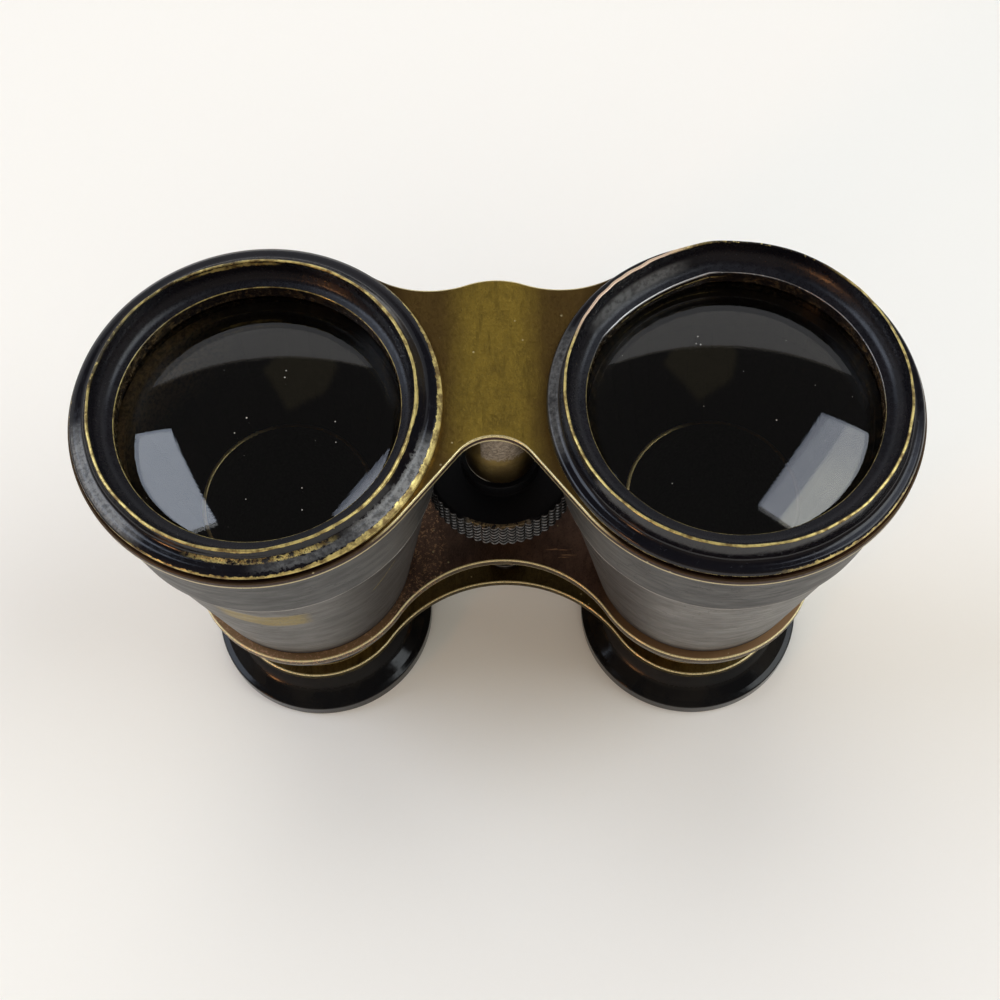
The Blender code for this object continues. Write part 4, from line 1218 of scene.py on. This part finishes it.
def build_world():
    """A pale room with a dark ceiling, two windows and a lamp."""
    world = bpy.data.worlds.new("studio")
    world.use_nodes = True
    bpy.context.scene.world = world
    g = Graph(world.node_tree)
    direction = g.make("ShaderNodeTexCoord").outputs["Generated"]
    x, y, z = g.make("ShaderNodeSeparateXYZ", {0: direction}).outputs
    up = g.math("MAXIMUM", z, LOWEST)
    gx, gy = g.math("DIVIDE", x, up), g.math("DIVIDE", y, up)

    def inside(corners, soft):
        mask = 1.0
        for a, b in zip(corners, corners[1:] + corners[:1]):
            length = hypot(b[0] - a[0], b[1] - a[1])
            nx, ny = (a[1] - b[1]) / length, (b[0] - a[0]) / length
            away = g.add(g.mul(gx, nx), g.mul(gy, ny))
            edge = nx * a[0] + ny * a[1]
            mask = g.mul(mask, g.ramp(away, edge - soft, edge + soft))
        return mask

    ceiling = g.mul(g.ramp(gy, 1.014, 1.006), g.ramp(gy, -1.45, -1.0))
    ceiling = g.mul(ceiling, g.mul(g.ramp(gx, -1.8, -1.3), g.ramp(gx, 1.8, 1.3)))
    wall = g.mix(g.ramp(y, -0.1, 0.5), FRONT_WALL, REAR_WALL)
    color = g.mix(ceiling, wall, g.mix(inside(GHOST_PANE, GHOST_SOFT), OVERHEAD, GHOST))
    color = g.mix(inside(LEFT_WINDOW, WINDOW_SOFT), color, LEFT_PANE)
    strip = g.sub(gx, g.mul(gy, BAR_SLANT))
    pane = g.mix(g.ramp(strip, *FIRST_BAR), RIGHT_PANES[0], RIGHT_PANES[1])
    last = g.mix(g.ramp(gy, 0.40, 0.05), RIGHT_PANES[2], RIGHT_PANES[3])
    pane = g.mix(g.ramp(strip, *SECOND_BAR), pane, last)
    color = g.mix(inside(RIGHT_WINDOW, WINDOW_SOFT), color, pane)
    lamp = Vector(LAMP_DIRECTION).normalized()
    near = g.add(g.add(g.mul(x, lamp.x), g.mul(y, lamp.y)), g.mul(z, lamp.z))
    color = g.mix(g.ramp(near, *LAMP_EDGE), color, LAMP)
    background = world.node_tree.nodes["Background"]
    g.feed(background.inputs["Color"], color)
    g.feed(background.inputs["Strength"], 1.0)


# Place, power and colour
LAMPS = {
    "rear_lamp": ((-0.10, 0.45, 0.75), 2.68, (1.0, 0.975, 0.92)),
    "front_lamp": ((0.02, -0.45, 0.75), 2.15, (1.0, 0.94, 0.82)),
}


def build_lamps():
    """Two wide soft lamps, which don't show in mirrors or through glass."""
    for name, (place, energy, color) in LAMPS.items():
        data = bpy.data.lights.new(name, "AREA")
        data.shape = "DISK"
        data.size = 0.8
        data.energy = energy
        data.color = color
        lamp = bpy.data.objects.new(name, data)
        lamp.location = place
        lamp.rotation_euler = Vector(place).to_track_quat("Z", "Y").to_euler()
        lamp.visible_camera = False
        lamp.visible_glossy = False
        lamp.visible_transmission = False
        bpy.context.scene.collection.objects.link(lamp)


FOCAL_LENGTH, SENSOR_WIDTH = 56.3184, 36.0
CAMERA_RIGHT = (0.99969366, 0.00368414, -0.02447484)
CAMERA_UP = (0.0070256, 0.90594555, 0.42333592)
CAMERA_BACK = (0.0237325, -0.42337819, 0.90564214)
CAMERA_PLACE = (0.005616, -0.100148, 0.261659)


def build_camera():
    """The photograph's camera, as it was fitted with the parts."""
    data = bpy.data.cameras.new("camera")
    data.lens = FOCAL_LENGTH
    data.sensor_width = SENSOR_WIDTH
    data.clip_start = 0.01
    camera = bpy.data.objects.new("camera", data)
    columns = (CAMERA_RIGHT, CAMERA_UP, CAMERA_BACK, CAMERA_PLACE)
    camera.matrix_world = Matrix([*zip(*columns), (0, 0, 0, 1)])
    bpy.context.scene.collection.objects.link(camera)
    bpy.context.scene.camera = camera


build_camera()
build_world()
build_lamps()
build_floor()
for side in SIDES:
    bezel(side)
    objective_glass(side)
    leather_cover(side)
    collar(side)
    end_ring(side)
    draw_tube(side)
    eyecup(side)
    eye_lens(side)
bridges()
focus_wheel()
gear()
kept_nodes()
bpy.context.scene.view_settings.view_transform = "Standard"
